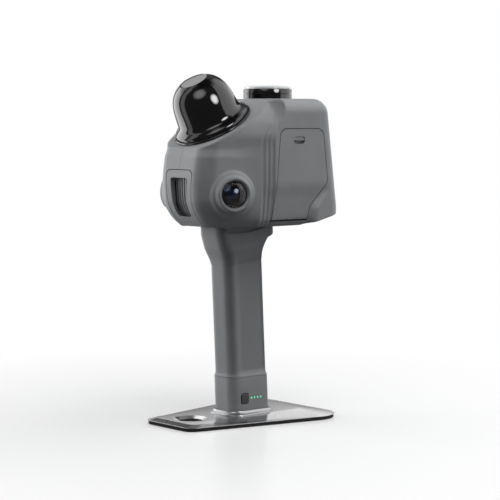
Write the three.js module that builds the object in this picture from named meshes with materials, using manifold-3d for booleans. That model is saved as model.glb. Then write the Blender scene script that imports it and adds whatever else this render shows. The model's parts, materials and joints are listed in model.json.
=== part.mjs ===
import * as THREE from 'three';
import { mergeVertices } from 'three/addons/utils/BufferGeometryUtils.js';
import Module from 'manifold-3d';

// Handheld laser scanner on a foot plate: head, tilted laser dome, antenna puck, grip and plate.
// Millimetres, +Z up, the front faces -Y. Reaches are measured from the middle of the grip's foot.

// Clearances and walls
const seatGap = 0.3; // between a piece and what it sits on
const slideGap = 0.3; // round a piece that moves
const seam = 0.3; // between the two head shells
const cutOverrun = 4; // how far a cutting shape runs past the face it cuts
const mergeReach = 0.0001; // corners closer than this are one
const shellWall = 2.4;

// Foot plate and its pad
const padThickness = 2.6;
const padInset = 0.4;
const plateThickness = 2.7;
const plateEdge = 0.8; // height of the upright edge
const plateFrontReach = 81;
const plateRearReach = 70;
const plateFrontHalf = 30;
const plateRearHalf = 63;
const plateFrontCorner = 10;
const plateRearCorner = 23;
const spineFrontInset = 7; // the flat strip along the middle, drawn in from the rim
const spineRearInset = 16;
const spineSideInset = 3; // at its front end
const spineRearHalf = 20.5;
const spineCorner = 8;
const sightReach = 55;
const sightRadius = 10.5;
const sightBevel = 4;
const sightBevelDepth = 1.9;
const plateScrewRadius = 3;
const plateScrewHeadRadius = 7.5;
const plateScrewHead = 2;
const plateScrewLength = 13;
const collarSpread = 4.6;
const collarLip = 1.5;
const collarHeight = 3.4;

// Grip and its foot block
const gripLean = 2.79; // degrees, the top leans to the front
const gripSetback = 0.6; // of the grip's middle line at the ground
const gripHalfWidth = 14;
const gripHalfDepth = 19.3;
const gripFrontRound = 10.8;
const gripRearRound = 3;
const gripWall = 2.2;
const footStep = 1.2; // how far the foot block stands out from the grip
const footHeight = 31.9;
const rampHeight = 5.6;
const gripFlareStart = 134;
const flangeHalfWidth = 16.3;
const flangeFrontDepth = 27.6;
const flangeRearDepth = 32.8;
const flangeRearRound = 5;
const neckGrooveHeight = 7.5;
const neckGrooveDepth = 1.6;
const neckTongueHalf = 5;
const gripWeb = 8; // solid top of the grip
const wireHoleRadius = 3;

// Power button, lights and battery
const buttonHeight = 18.9;
const buttonReach = 7.9;
const buttonHalfWidth = 4.2;
const buttonHalfHeight = 4.5;
const buttonRound = 2.2;
const buttonProud = 0.6;
const buttonLip = 0.9;
const buttonLipThickness = 0.8;
const buttonStemRadius = 1.5;
const buttonStemLength = 2.2;
const pocketWall = 2.2;
const pocketDepth = 7;
const pocketHalfHeight = 8;
const pocketFrontReach = 13.8;
const pocketRearReach = 12.8;
const boardThickness = 1.2;
const switchHalf = 3;
const switchHeight = 2.9;
const switchBoreDepth = 2.4;
const lightCount = 4;
const lightSetback = 0.4;
const lightPitch = 3.5;
const lightRadius = 0.8;
const insertRadius = 4.7;
const insertLength = 15;
const cellThickness = 7;
const cellDepth = 26;
const cellLength = 88;
const cellCount = 3;
const cellRound = 1.2;
const cellSetback = 3; // how far the cells sit behind the grip's axis
const connectorHeight = 7;
const connectorHalf = 8;
const batteryBoardHalfDepth = 13.4;

// Head
const headBottom = 166.5;
const headHeight = 107;
const headFrontReach = 67.5;
const headRearReach = 72.4; // at the foot of the rear wall
const headRearTopReach = 62.2; // where the top's rounding starts
const headRearFootHeight = 15.5; // above the head's bottom
const faceHalf = 22;
const cornerHalf = 32.5;
const cornerReach = 57.5;
const waistHalf = 45;
const waistReach = 15.5;
const rearHalf = 49.7;
const rearStartReach = 4;
const rearCorner = 12;
const topRound = 12;
const lowerEdge = 2.2; // chamfer along the rear corner's foot
const cornerBulge = 0.8; // softens both ends of the corner facet
const fluteCount = 3;
const fluteSteps = 4;
const fluteDepth = 0.9;
const hipRise = 7; // length of the ramp from the drawn-in side out to the rear corner
const tailStartReach = 32; // the underside rises behind this point
const tailRise = 9.6;
const platformReach = 62.1;
const platformHeight = 66.2; // above the head's bottom, at the platform's front edge
const platformTilt = 30; // degrees
const platformEndReach = 8.8; // behind the grip's axis, where a taller head would rise upright
const neckHoleHalf = 14;
const neckHoleFront = 27;
const neckHoleRear = 19;
const shellScrewHalf = 22.8;
const shellScrewFront = 33;
const shellScrewRear = 26;
const shellScrewRadius = 1.5;
const shellScrewHeadRadius = 2.8;
const shellScrewHead = 1.6;
const exhaustSlots = 5;
const exhaustHalf = 15;
const exhaustSlot = 2.4;
const exhaustPitch = 5.6;
const exhaustStart = 40; // above the head's bottom

// Front vent
const ventHalf = 17;
const ventFootHalf = 14;
const ventTop = 48; // above the head's bottom
const ventCorner = 4.5;
const ventGroove = 0.6;
const mouthHalf = 11;
const mouthFootHalf = 8.6;
const mouthTop = 41.5;
const mouthFoot = 9;
const mouthCorner = 1.5;
const finCount = 7;
const finPitch = 3.2;
const finThickness = 1.2;
const finFrontReach = 62.2;
const finTop = 44;
const sinkReach = 46; // front of the heat sink's base plate
const sinkThickness = 3;

// Fan
const fanSize = 40;
const fanThickness = 10;
const fanRadius = 18.6;
const fanHubRadius = 8;
const fanSpoke = 2;
const fanCorner = 3;
const bladeCount = 7;
const bladeTilt = 38; // degrees
const bladeThickness = 1;
const bladeWidth = 8;
const bladeTipGap = 1.2;
const fanShaftRadius = 1.2;

// Core frame and boards
const frameThickness = 3;
const frameHalf = 25.5;
const frameFrontReach = 36;
const frameRearReach = 31;
const frameNose = 11.5; // narrow tongue under the heat sink
const frameNoseHalf = 14;
const webHalf = 23.5;
const webThickness = 2;
const webFootRear = 28;
const shelfHalf = 24.5;
const shelfFront = 24;
const shelfRear = 31;
const neckScrewRadius = 2;
const neckScrewHeadRadius = 3.6;
const neckScrewHead = 3;
const neckScrewReach = 16;
const mainBoardHalf = 21;
const mainBoardFront = 31;
const mainBoardRear = 30;
const standoff = 3.5;
const standoffRadius = 2.6;
const standoffInset = 4;
const processorHalf = 13;
const processorHeight = 5;
const processorReach = 14;
const sensorHalf = 11;
const sensorHeight = 8;
const sensorSetback = 15;

// Laser unit, along its own tilted axis from the plane of its trim ring
const laserReach = 30.25;
const ringProud = 1.1; // ring plane above the platform
const ringOuter = 34.2;
const ringInner = 33.1;
const ringHeight = 1.6;
const windowFoot = 32.6;
const windowHeight = 41.5;
const windowWall = 1.8;
const windowCapRadius = 12.2;
const capRecess = 0.5;
const laserHoleGap = 0.5;
const baseRadius = 31;
const baseDepth = 18;
const baseFlange = 3;
const sealInner = 30.6;
const sealHeight = 0.8;
const motorRadius = 12;
const motorHeight = 6;
const shaftRadius = 2;
const shaftDepth = 9;
const rotorRadius = 19;
const rotorHeight = 22;
const mirrorTilt = 45;
const mirrorThickness = 2;
const mirrorHalf = 9;

// Side cameras
const podHalf = 44;
const podReach = 43.2;
const podHeight = 28; // above the head's bottom
const podAzimuth = 70; // degrees from the front
const podFootRadius = 19.5;
const podRimRadius = 14.7;
const podStand = 7;
const glassRadius = 10.9;
const glassRise = 4;
const glassThickness = 1.6;
const glassSink = 1.4; // glass edge below the rim
const podRimBevel = 0.6;
const barrelLength = 11;
const barrelTip = 8;
const cameraBoardHalf = 8;

// Side door, storage bay and latch
const doorDrop = 24.9; // below the head's top
const doorFoot = 4.3;
const doorFrontTopReach = 1.5; // behind the grip's axis
const doorFrontFootReach = 5; // ahead of the grip's axis
const doorRearTopReach = 50.5;
const doorRearMidReach = 56;
const doorRearMidHeight = 36.5;
const doorHipReach = 37.5;
const doorHipHeight = 15.5;
const doorFootReach = 36;
const doorCorner = 7;
const doorSmallCorner = 2;
const doorGap = 0.6;
const barrelRadius = 1.4;
const pinRadius = 0.5;
const pinHold = 2.5; // how far the pin enters the shell at each end
const slotReach = 22.8;
const slotDrop = 10; // below the door's top
const slotHalfLength = 6.3;
const slotHalfHeight = 3.15;
const latchPadHeight = 2.9;
const latchPadSink = 0.5;
const latchHalf = 8.5;
const latchBelow = 6;
const latchPlate = 1.4;
const tongueHalf = 4;
const bayLip = 1.6;
const bayMargin = 2.4;
const bayFront = 6;
const bayRear = 48;
const bayFoot = 21;
const bayDrop = 1.1; // below the door's top
const bayWall = 1.4;
const driveHalfWidth = 14;
const driveThickness = 8;
const driveHeadroom = 18; // free height over the drive
const driveSetback = 22;
const portHalfWidth = 4.6;
const portHalfHeight = 1.7;
const portDepth = 7;
const portWall = 0.5;
const portSetback = 42;
const portDrop = 21; // below the top of the bay

// Antenna puck
const puckSetback = 31;
const puckRadius = 20.8;
const puckRingHeight = 3.9;
const puckWall = 2;
const puckCrown = 3;
const puckEdgeRound = 0.9;
const studRadius = 4;
const studDepth = 8;
const patchHalf = 12.5;
const patchHeight = 3.4;
const puckFloor = 1.4;

// Steps of round stretches
const turnSteps = 32;
const smallTurnSteps = 16;
const cornerSteps = 4;
const smallCornerSteps = 2;
const plateCornerSteps = 8;

// Heights and places worked out from the sizes above
const leanShare = Math.tan(THREE.MathUtils.degToRad(gripLean));
const plateTop = padThickness + plateThickness;
const footTop = plateTop + footHeight;
const sleeveBottom = footTop + seatGap;
const gripTop = headBottom - seatGap;
const headTop = headBottom + headHeight;
const doorTop = headHeight - doorDrop;
const slotHeight = doorTop - slotDrop;
const bayTop = doorTop - bayDrop;
const driveHeight = bayTop - bayFoot - driveHeadroom;
const portHeight = bayTop - portDrop;
const tiltSlope = Math.tan(THREE.MathUtils.degToRad(platformTilt));
const floorBottom = headBottom + shellWall + seatGap;
const floorTop = floorBottom + frameThickness;
const rearSlope = (headRearReach - headRearTopReach) / (headHeight - topRound - headRearFootHeight);
const neckScrewMiddle = gripSetback - leanShare * gripTop;

// Head outline by height. Each row holds shares of: head height, front reach, face half width,
// corner half width, corner reach, waist half width, waist reach, rear half width, rear start, hip start.
const headLevelShares = [
  [0, 0.763, 0.77, 0.79, 0.756, 0.875, 1, 0.81, 1, 0.5],
  [0.023, 0.8, 0.81, 0.86, 0.8, 0.925, 1, 0.865, 1, 0.5],
  [0.065, 0.864, 0.86, 0.93, 0.88, 0.967, 1, 0.911, 1, 0.51],
  [0.135, 0.945, 0.93, 0.975, 0.95, 0.987, 1, 0.934, 1, 0.53],
  [0.22, 0.99, 0.985, 0.995, 0.99, 0.996, 1, 0.958, 1, 0.63],
  [0.355, 1, 1, 1, 1, 1, 1, 1, 1, 0.78],
  [0.547, 0.96, 1, 1, 0.97, 1, 1, 1, 1, 0.78],
  [0.619, 0.92, 0.99, 0.97, 0.94, 1, 1, 1, 1, 0.78],
  [0.69, 0.92, 0.99, 0.97, 0.94, 1.01, 1, 1, 1, 0.78],
  [0.79, 0.92, 0.99, 0.97, 0.94, 1.02, 0.6, 1, -0.2, 0.78],
  [0.888, 0.92, 0.9, 0.9, 0.94, 0.93, -0.1, 1, -1.5, 0.78],
  [0.944, 0.92, 0.7, 0.75, 0.94, 0.77, -0.25, 0.968, -2, 0.78],
  [0.985, 0.92, 0.55, 0.6, 0.94, 0.62, -0.3, 0.879, -2.1, 0.74],
  [1, 0.92, 0.5, 0.55, 0.94, 0.55, -0.3, 0.76, -2.2, 0.7],
];
// Rows of that table that the plainer inside follows.
const innerRows = [0, 2, 4, 5, 7, 9, 10, 11, 12, 13];
// Laser window profile: shares of the foot radius and of the height.
const windowProfileShares = [
  [1, 0], [1, 0.05], [0.985, 0.09], [0.93, 0.13], [0.875, 0.165], [0.842, 0.22], [0.825, 0.32],
  [0.805, 0.46], [0.78, 0.58], [0.735, 0.7], [0.665, 0.81], [0.56, 0.905], [0.455, 0.965], [0.374, 1],
];
// Grip flare: shares of the height from its start to the groove, of the added front depth,
// of the added rear depth, of the added half width and of the slope to the rear.
const flareShares = [
  [0, 0, 0, 0, 1], [0.25, 0.13, 0.02, 0.12, 1.3], [0.48, 0.33, 0.2, 0.45, 1.6],
  [0.66, 0.55, 0.46, 0.75, 1.5], [0.82, 0.78, 0.82, 0.95, 0.8], [1, 1, 1, 1, 0],
];
const flareSlopeShare = 0.12;
// Ramp at the grip's foot: shares of its height and of the foot block's step.
const rampShares = [[0, 1], [0.22, 0.5], [0.55, 0.14], [1, 0]];
// Collar round the foot: shares of its height and of its spread beyond the lip.
const collarShares = [[0, 1], [0.12, 1], [0.45, 0.37], [1, 0]];
// Camera pod: shares of the flare from rim to foot, and of the stand below the rim.
const podShares = [[1, 2.2], [1, 1], [0.5, 0.62], [0.17, 0.3]];
// Heat sink fins, which end behind the vent's curved wall: shares of their height and front reach.
const finShares = [[0.02, 0.78], [0.22, 0.94], [0.42, 1], [0.9, 1], [1, 0.97]];
// Antenna cover: shares of its radius and of its crown.
const coverShares = [[1, 0], [1, 0.33], [0.97, 0.62], [0.85, 0.86], [0.5, 0.98], [0, 1]];
// Laser rotor: the solid foot's share of its height, and the drum's shares of radius and height.
const drumFootShare = 1 / 3;
const drumShares = [[1, 0], [1, 0.25], [0.92, drumFootShare], [0.92, 0.91], [0.85, 1]];
const softShare = 0.18; // part of the corner facet taken by each softened end
const slotRoundShare = 0.8;
const hingeShare = 0.8; // of the wall, from the door's outside to the hinge line
const ventFootShare = 0.77; // of the front reach, where the vent's foot ends
const barrelShoulderShare = 0.7; // of the camera barrel's length

const wasm = await Module();
wasm.setup();

// A closed geometry with shared corners and its faces pointing out.
function closed(geometry) {
  const bare = new THREE.BufferGeometry();
  const source = geometry.index ? geometry.toNonIndexed() : geometry;
  bare.setAttribute('position', source.getAttribute('position').clone());
  const merged = mergeVertices(bare, mergeReach);
  const place = merged.getAttribute('position');
  const old = merged.index.array;
  const faces = [];
  let volume = 0;
  const corner = [new THREE.Vector3(), new THREE.Vector3(), new THREE.Vector3()];
  for (let i = 0; i < old.length; i += 3) {
    const [a, b, c] = [old[i], old[i + 1], old[i + 2]];
    if (a === b || b === c || c === a) continue;
    faces.push(a, b, c);
    corner.forEach((point, n) => point.fromBufferAttribute(place, old[i + n]));
    volume += corner[0].dot(corner[1].clone().cross(corner[2]));
  }
  if (volume < 0) {
    for (let i = 0; i < faces.length; i += 3) [faces[i + 1], faces[i + 2]] = [faces[i + 2], faces[i + 1]];
  }
  merged.setIndex(faces);
  return merged;
}

function solid(geometry) {
  const shape = closed(geometry);
  const vertProperties = new Float32Array(shape.getAttribute('position').array);
  const triVerts = new Uint32Array(shape.index.array);
  return new wasm.Manifold(new wasm.Mesh({ numProp: 3, vertProperties, triVerts }));
}

function geometryOf(shape) {
  const mesh = shape.getMesh();
  const geometry = new THREE.BufferGeometry();
  geometry.setAttribute('position', new THREE.BufferAttribute(new Float32Array(mesh.vertProperties), 3));
  geometry.setIndex(new THREE.BufferAttribute(new Uint32Array(mesh.triVerts), 1));
  return geometry;
}

function join(first, ...rest) {
  return rest.reduce((shape, piece) => shape.add(piece), first);
}

function cut(first, ...rest) {
  return rest.reduce((shape, piece) => shape.subtract(piece), first);
}

// Outline with rounded corners; each corner is [x, y, radius] and the corners run anticlockwise.
function roundedOutline(corners, steps = cornerSteps) {
  const points = [];
  corners.forEach(([x, y, radius], n) => {
    const here = new THREE.Vector2(x, y);
    const before = new THREE.Vector2(...corners.at(n - 1)).sub(here).normalize();
    const after = new THREE.Vector2(...corners[(n + 1) % corners.length]).sub(here).normalize();
    const half = Math.acos(THREE.MathUtils.clamp(before.dot(after), -1, 1)) / 2;
    const inward = before.clone().add(after).normalize();
    const centre = here.clone().addScaledVector(inward, radius / Math.sin(half));
    const start = here.clone().addScaledVector(before, radius / Math.tan(half)).sub(centre);
    const turn = (Math.PI - 2 * half) * -Math.sign(before.cross(after));
    for (let i = 0; i <= steps; i += 1) {
      points.push(start.clone().rotateAround(new THREE.Vector2(), (turn * i) / steps).add(centre));
    }
  });
  return points;
}

function ring(outline, z) {
  return outline.map((point) => new THREE.Vector3(point.x, point.y, z));
}

// Closed body through rings of equally many points, from the lowest to the highest.
function loft(rings) {
  const count = rings[0].length;
  const points = rings.flat();
  const faces = [];
  for (let level = 0; level < rings.length - 1; level += 1) {
    for (let i = 0; i < count; i += 1) {
      const a = level * count + i;
      const b = level * count + ((i + 1) % count);
      faces.push(a, b, b + count, a, b + count, a + count);
    }
  }
  [rings[0], rings.at(-1)].forEach((end, side) => {
    const middle = end.reduce((sum, point) => sum.add(point), new THREE.Vector3()).divideScalar(count);
    const hub = points.push(middle) - 1;
    const first = side ? (rings.length - 1) * count : 0;
    for (let i = 0; i < count; i += 1) {
      const a = first + i;
      const b = first + ((i + 1) % count);
      faces.push(...(side ? [hub, a, b] : [hub, b, a]));
    }
  });
  const geometry = new THREE.BufferGeometry().setFromPoints(points);
  geometry.setIndex(faces);
  return geometry;
}

// Prisms of an outline: upright, and lying along X (outline in Y and Z) or along Y (outline in X and Z).
function prismZ(outline, from, to) {
  const shape = new THREE.Shape(outline);
  const geometry = new THREE.ExtrudeGeometry(shape, { depth: to - from, bevelEnabled: false });
  return geometry.translate(0, 0, from);
}

function prismX(outline, from, to) {
  return prismZ(outline, from, to).applyMatrix4(new THREE.Matrix4().set(
    0, 0, 1, 0, 1, 0, 0, 0, 0, 1, 0, 0, 0, 0, 0, 1,
  ));
}

function prismY(outline, from, to) {
  return prismZ(outline, from, to).applyMatrix4(new THREE.Matrix4().set(
    1, 0, 0, 0, 0, 0, 1, 0, 0, 1, 0, 0, 0, 0, 0, 1,
  ));
}

function box(xFrom, xTo, yFrom, yTo, zFrom, zTo) {
  const geometry = new THREE.BoxGeometry(xTo - xFrom, yTo - yFrom, zTo - zFrom);
  return geometry.translate((xFrom + xTo) / 2, (yFrom + yTo) / 2, (zFrom + zTo) / 2);
}

// Turned body about the Z axis; the profile holds [radius, height] pairs.
function turned(profile, steps = turnSteps) {
  const points = profile.map(([radius, height]) => new THREE.Vector2(radius, height));
  return new THREE.LatheGeometry(points, steps).rotateX(Math.PI / 2);
}

function disc(radius, from, to, steps = smallTurnSteps) {
  return turned([[0, from], [radius, from], [radius, to], [0, to]], steps);
}

function tube(inner, outer, from, to, steps = turnSteps) {
  return turned([[inner, from], [outer, from], [outer, to], [inner, to], [inner, from]], steps);
}

function alongX(geometry) {
  return geometry.rotateY(Math.PI / 2);
}

function alongY(geometry) {
  return geometry.rotateX(-Math.PI / 2);
}

function centredBox(x, y, z) {
  return new THREE.BoxGeometry(x, y, z);
}

const finish = {
  shell: { color: 0x75777b, roughness: 0.62, metalness: 0 },
  grip: { color: 0x6c6e71, roughness: 0.65, metalness: 0 },
  plate: { color: 0xc4c6c8, roughness: 0.28, metalness: 1 },
  rubber: { color: 0x1b1b1c, roughness: 0.85, metalness: 0 },
  dark: { color: 0x242527, roughness: 0.5, metalness: 0 },
  glass: { color: 0x0b0b0d, roughness: 0.04, metalness: 0 },
  bright: { color: 0xd5d7da, roughness: 0.16, metalness: 1 },
  alloy: { color: 0x9a9da1, roughness: 0.42, metalness: 1 },
  board: { color: 0x1d4a33, roughness: 0.6, metalness: 0 },
  brass: { color: 0xb08d4a, roughness: 0.35, metalness: 1 },
  white: { color: 0xf0f1f2, roughness: 0.4, metalness: 0 },
  light: { color: 0x6fd8a8, roughness: 0.3, metalness: 0 },
  cell: { color: 0x3d5f86, roughness: 0.5, metalness: 0 },
};

const scanner = new THREE.Group();

function place(parent, name, shape, look) {
  const geometry = shape.isBufferGeometry ? closed(shape) : geometryOf(shape);
  geometry.computeVertexNormals();
  const mesh = new THREE.Mesh(geometry, new THREE.MeshStandardMaterial(finish[look]));
  mesh.name = name;
  parent.add(mesh);
  return mesh;
}

// Foot plate

function plateOutline(inset) {
  return roundedOutline([
    [plateFrontHalf - inset, inset - plateFrontReach, plateFrontCorner],
    [plateRearHalf - inset, plateRearReach - inset, plateRearCorner],
    [inset - plateRearHalf, plateRearReach - inset, plateRearCorner],
    [inset - plateFrontHalf, inset - plateFrontReach, plateFrontCorner],
  ], plateCornerSteps);
}

function spineOutline() {
  const front = spineFrontInset - plateFrontReach;
  const rear = plateRearReach - spineRearInset;
  const frontHalf = plateFrontHalf - spineSideInset;
  return roundedOutline([
    [frontHalf, front, spineCorner],
    [spineRearHalf, rear, spineCorner],
    [-spineRearHalf, rear, spineCorner],
    [-frontHalf, front, spineCorner],
  ], plateCornerSteps);
}

function basePad() {
  const sightHole = disc(sightRadius + padInset, -cutOverrun, padThickness + cutOverrun);
  const headHole = disc(plateScrewHeadRadius + seatGap, -cutOverrun, padThickness + cutOverrun);
  const pad = solid(prismZ(plateOutline(padInset), 0, padThickness));
  return cut(pad, solid(sightHole.translate(0, -sightReach, 0)), solid(headHole));
}

function basePlate() {
  const rim = plateOutline(0);
  const edgeTop = padThickness + plateEdge;
  const body = loft([ring(rim, padThickness), ring(rim, edgeTop), ring(spineOutline(), plateTop)]);
  const bevelFoot = plateTop - sightBevelDepth;
  const bevelSlope = sightBevel / sightBevelDepth;
  const sight = turned([
    [0, -cutOverrun], [sightRadius, -cutOverrun], [sightRadius, bevelFoot],
    [sightRadius + sightBevel + cutOverrun * bevelSlope, plateTop + cutOverrun], [0, plateTop + cutOverrun],
  ]);
  const screwHole = disc(plateScrewRadius + seatGap, -cutOverrun, plateTop + cutOverrun);
  return cut(solid(body), solid(sight.translate(0, -sightReach, 0)), solid(screwHole));
}

function plateScrew() {
  const headFoot = padThickness - plateScrewHead;
  const head = disc(plateScrewHeadRadius, headFoot, padThickness - seatGap / 2);
  const shank = disc(plateScrewRadius, headFoot + plateScrewHead / 2, padThickness + plateScrewLength);
  return join(solid(head), solid(shank));
}

// The grip's middle line leans to the front.
function gripMiddle(z) {
  return gripSetback - leanShare * z;
}

// Grip section at a height; grow adds to every side.
function gripSection(z, half, front, rear, frontRound, rearRound, grow = 0) {
  const middle = gripMiddle(z);
  const outline = roundedOutline([
    [half + grow, middle - front - grow, Math.max(frontRound + grow, seatGap)],
    [half + grow, middle + rear + grow, Math.max(rearRound + grow, seatGap)],
    [-half - grow, middle + rear + grow, Math.max(rearRound + grow, seatGap)],
    [-half - grow, middle - front - grow, Math.max(frontRound + grow, seatGap)],
  ]);
  return outline;
}

function plainSection(z, grow) {
  return ring(gripSection(
    z, gripHalfWidth, gripHalfDepth, gripHalfDepth, gripFrontRound, gripRearRound, grow,
  ), z);
}

function footCollar() {
  const rings = collarShares.map(([rise, spread]) => plainSection(
    plateTop + rise * collarHeight,
    footStep + collarLip + spread * (collarSpread - collarLip),
  ));
  const hole = [plateTop - cutOverrun, plateTop + collarHeight + cutOverrun]
    .map((z) => plainSection(z, footStep + seatGap));
  return cut(solid(loft(rings)), solid(loft(hole)));
}

function footBlock() {
  const face = gripHalfWidth + footStep;
  const block = solid(loft([plateTop, footTop].map((z) => plainSection(z, footStep))));
  const inner = face - pocketWall;
  const pocket = box(
    inner - pocketDepth, inner, -pocketFrontReach, pocketRearReach,
    buttonHeight - pocketHalfHeight, buttonHeight + pocketHalfHeight,
  );
  const channel = box(
    inner - pocketDepth, inner - pocketDepth / 2, -connectorHalf / 2, connectorHalf / 2,
    buttonHeight, footTop + cutOverrun,
  );
  const insertHole = disc(insertRadius + seatGap, plateTop - cutOverrun, plateTop + insertLength + seatGap);
  const buttonHole = prismX(buttonOutline(slideGap), inner - cutOverrun, face + cutOverrun);
  const lights = Array.from({ length: lightCount }, (_, n) => solid(
    alongX(disc(lightRadius + seatGap, inner - cutOverrun, face + cutOverrun))
      .translate(0, n * lightPitch - lightSetback, buttonHeight),
  ));
  return cut(block, solid(pocket), solid(channel), solid(insertHole), solid(buttonHole), ...lights);
}

function footInsert() {
  const bore = plateScrewRadius + seatGap;
  return tube(bore, insertRadius, plateTop + seatGap, plateTop + insertLength, smallTurnSteps);
}

function buttonOutline(grow) {
  const high = buttonHalfHeight + grow;
  const wide = buttonHalfWidth + grow;
  const round = buttonRound + grow;
  return roundedOutline([
    [wide - buttonReach, buttonHeight - high, round],
    [wide - buttonReach, buttonHeight + high, round],
    [-wide - buttonReach, buttonHeight + high, round],
    [-wide - buttonReach, buttonHeight - high, round],
  ]);
}

function powerButton() {
  const face = gripHalfWidth + footStep;
  const lipTop = face - pocketWall - seatGap;
  const lipFoot = lipTop - buttonLipThickness;
  const cap = solid(prismX(buttonOutline(0), lipFoot, face + buttonProud));
  const lip = solid(prismX(buttonOutline(buttonLip), lipFoot, lipTop));
  const stem = alongX(disc(buttonStemRadius, lipFoot - buttonStemLength, lipFoot + buttonLipThickness / 2));
  return join(cap, lip, solid(stem.translate(0, -buttonReach, buttonHeight)));
}

// Switch base and board stand on the pocket's inner side.
const boardBack = gripHalfWidth + footStep - pocketWall - pocketDepth + seatGap;
const boardFront = boardBack + boardThickness;

function buttonSwitch() {
  const front = boardFront + switchHeight;
  const base = box(
    boardFront + seatGap / 2, front, -buttonReach - switchHalf, switchHalf - buttonReach,
    buttonHeight - switchHalf, buttonHeight + switchHalf,
  );
  const bore = alongX(disc(buttonStemRadius + slideGap, front - switchBoreDepth, front + cutOverrun));
  return cut(solid(base), solid(bore.translate(0, -buttonReach, buttonHeight)));
}

function buttonBoard() {
  return box(
    boardBack, boardFront, seatGap - pocketFrontReach, pocketRearReach - seatGap,
    buttonHeight - pocketHalfHeight + seatGap, buttonHeight + pocketHalfHeight - seatGap,
  );
}

function chargeLight(index) {
  const pipe = alongX(disc(lightRadius, boardFront + seatGap, gripHalfWidth + footStep));
  return pipe.translate(0, index * lightPitch - lightSetback, buttonHeight);
}

// Grip sleeve with its ramp at the foot, flare at the head and groove under the head

function flareRing([rise, front, rear, wide, slope]) {
  const z = gripFlareStart + rise * (gripTop - neckGrooveHeight - gripFlareStart);
  const outline = gripSection(
    z,
    gripHalfWidth + wide * (flangeHalfWidth - gripHalfWidth),
    gripHalfDepth + front * (flangeFrontDepth - gripHalfDepth),
    gripHalfDepth + rear * (flangeRearDepth - gripHalfDepth),
    gripFrontRound,
    gripRearRound + rear * (flangeRearRound - gripRearRound),
  );
  return outline.map((point) => new THREE.Vector3(
    point.x, point.y, z + slope * flareSlopeShare * (point.y - gripMiddle(z)),
  ));
}

function flangeRing(z, grow) {
  return ring(gripSection(
    z, flangeHalfWidth, flangeFrontDepth, flangeRearDepth, gripFrontRound, flangeRearRound, grow,
  ), z);
}

function gripSleeve() {
  const ramp = rampShares
    .map(([rise, step]) => plainSection(sleeveBottom + rise * rampHeight, step * footStep));
  const outer = solid(loft([...ramp, ...flareShares.map(flareRing), flangeRing(gripTop, 0)]));
  const cavityEnds = [sleeveBottom - cutOverrun, gripTop - gripWeb];
  const cavity = solid(loft(cavityEnds.map((z) => plainSection(z, -gripWall))));
  const grooveFoot = gripTop - neckGrooveHeight;
  const around = [grooveFoot, gripTop + cutOverrun];
  const groove = cut(
    solid(loft(around.map((z) => flangeRing(z, cutOverrun)))),
    solid(loft(around.map((z) => flangeRing(z, -neckGrooveDepth)))),
    solid(box(
      -neckTongueHalf, neckTongueHalf, -flangeFrontDepth * 2, -flangeFrontDepth,
      grooveFoot - cutOverrun, gripTop + cutOverrun,
    )),
  );
  const holes = [-1, 1].map((side) => solid(
    disc(neckScrewRadius + seatGap, gripTop - gripWeb - cutOverrun, gripTop + cutOverrun)
      .translate(0, side * neckScrewReach / 2 + neckScrewMiddle, 0),
  ));
  const wires = disc(wireHoleRadius, gripTop - gripWeb - cutOverrun, gripTop + cutOverrun);
  return cut(
    outer, cavity, groove, ...holes, solid(wires.translate(wireHoleRadius * 2, neckScrewMiddle, 0)),
  );
}

function neckScrew(side) {
  const headTopHeight = gripTop - gripWeb - seatGap;
  const head = solid(disc(neckScrewHeadRadius, headTopHeight - neckScrewHead, headTopHeight));
  const shank = solid(disc(neckScrewRadius, headTopHeight - neckScrewHead / 2, floorTop - seatGap));
  return join(head, shank).translate([0, side * neckScrewReach / 2 + neckScrewMiddle, 0]);
}

// Battery, in a group that leans with the grip

const battery = new THREE.Group();
battery.rotation.x = THREE.MathUtils.degToRad(gripLean);
const leanSine = Math.sin(THREE.MathUtils.degToRad(gripLean));
const batteryFoot = footTop + seatGap + (batteryBoardHalfDepth - cellSetback) * leanSine;

function batteryBoard() {
  const half = (cellThickness * cellCount) / 2;
  return box(
    -half, half, cellSetback - batteryBoardHalfDepth, cellSetback + batteryBoardHalfDepth,
    batteryFoot, batteryFoot + boardThickness,
  );
}

function batteryCell(index) {
  const middle = (index - (cellCount - 1) / 2) * (cellThickness + seatGap);
  const half = cellThickness / 2;
  const outline = roundedOutline([
    [middle + half, cellSetback - cellDepth / 2, cellRound],
    [middle + half, cellSetback + cellDepth / 2, cellRound],
    [middle - half, cellSetback + cellDepth / 2, cellRound],
    [middle - half, cellSetback - cellDepth / 2, cellRound],
  ], smallCornerSteps);
  const foot = batteryFoot + boardThickness + seatGap;
  return prismZ(outline, foot, foot + cellLength);
}

function batteryConnector() {
  const top = gripTop - gripWeb - seatGap;
  const front = neckScrewMiddle + neckScrewReach / 2 + neckScrewHeadRadius + seatGap;
  const rear = gripMiddle(top) + gripHalfDepth - gripWall - seatGap;
  return box(-connectorHalf, connectorHalf, front, rear, top - connectorHeight, top);
}

// Head

function rearReachAt(z) {
  return headRearReach - (z - headBottom - headRearFootHeight) * rearSlope;
}

// Half width of the rear block's side at a height, read between the rows of the level table.
function rearHalfAt(z) {
  const rise = (z - headBottom) / headHeight;
  const above = headLevelShares.findIndex((row) => row[0] >= rise);
  const [low, high] = [headLevelShares[above - 1], headLevelShares[above]];
  const share = (rise - low[0]) / (high[0] - low[0]);
  return rearHalf * THREE.MathUtils.lerp(low[7], high[7], share);
}

// Front corner of the head: the facet between the face and the side, softened at both ends.
function frontCorner(faceEnd, cornerEnd, waistEnd) {
  const facet = cornerEnd.clone().sub(faceEnd);
  const outward = new THREE.Vector2(facet.y, -facet.x).setLength(cornerBulge);
  return [
    faceEnd,
    faceEnd.clone().lerp(cornerEnd, softShare).add(outward),
    cornerEnd.clone().lerp(faceEnd, softShare).add(outward),
    cornerEnd.clone().lerp(waistEnd, softShare / 2),
    waistEnd,
  ];
}

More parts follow.
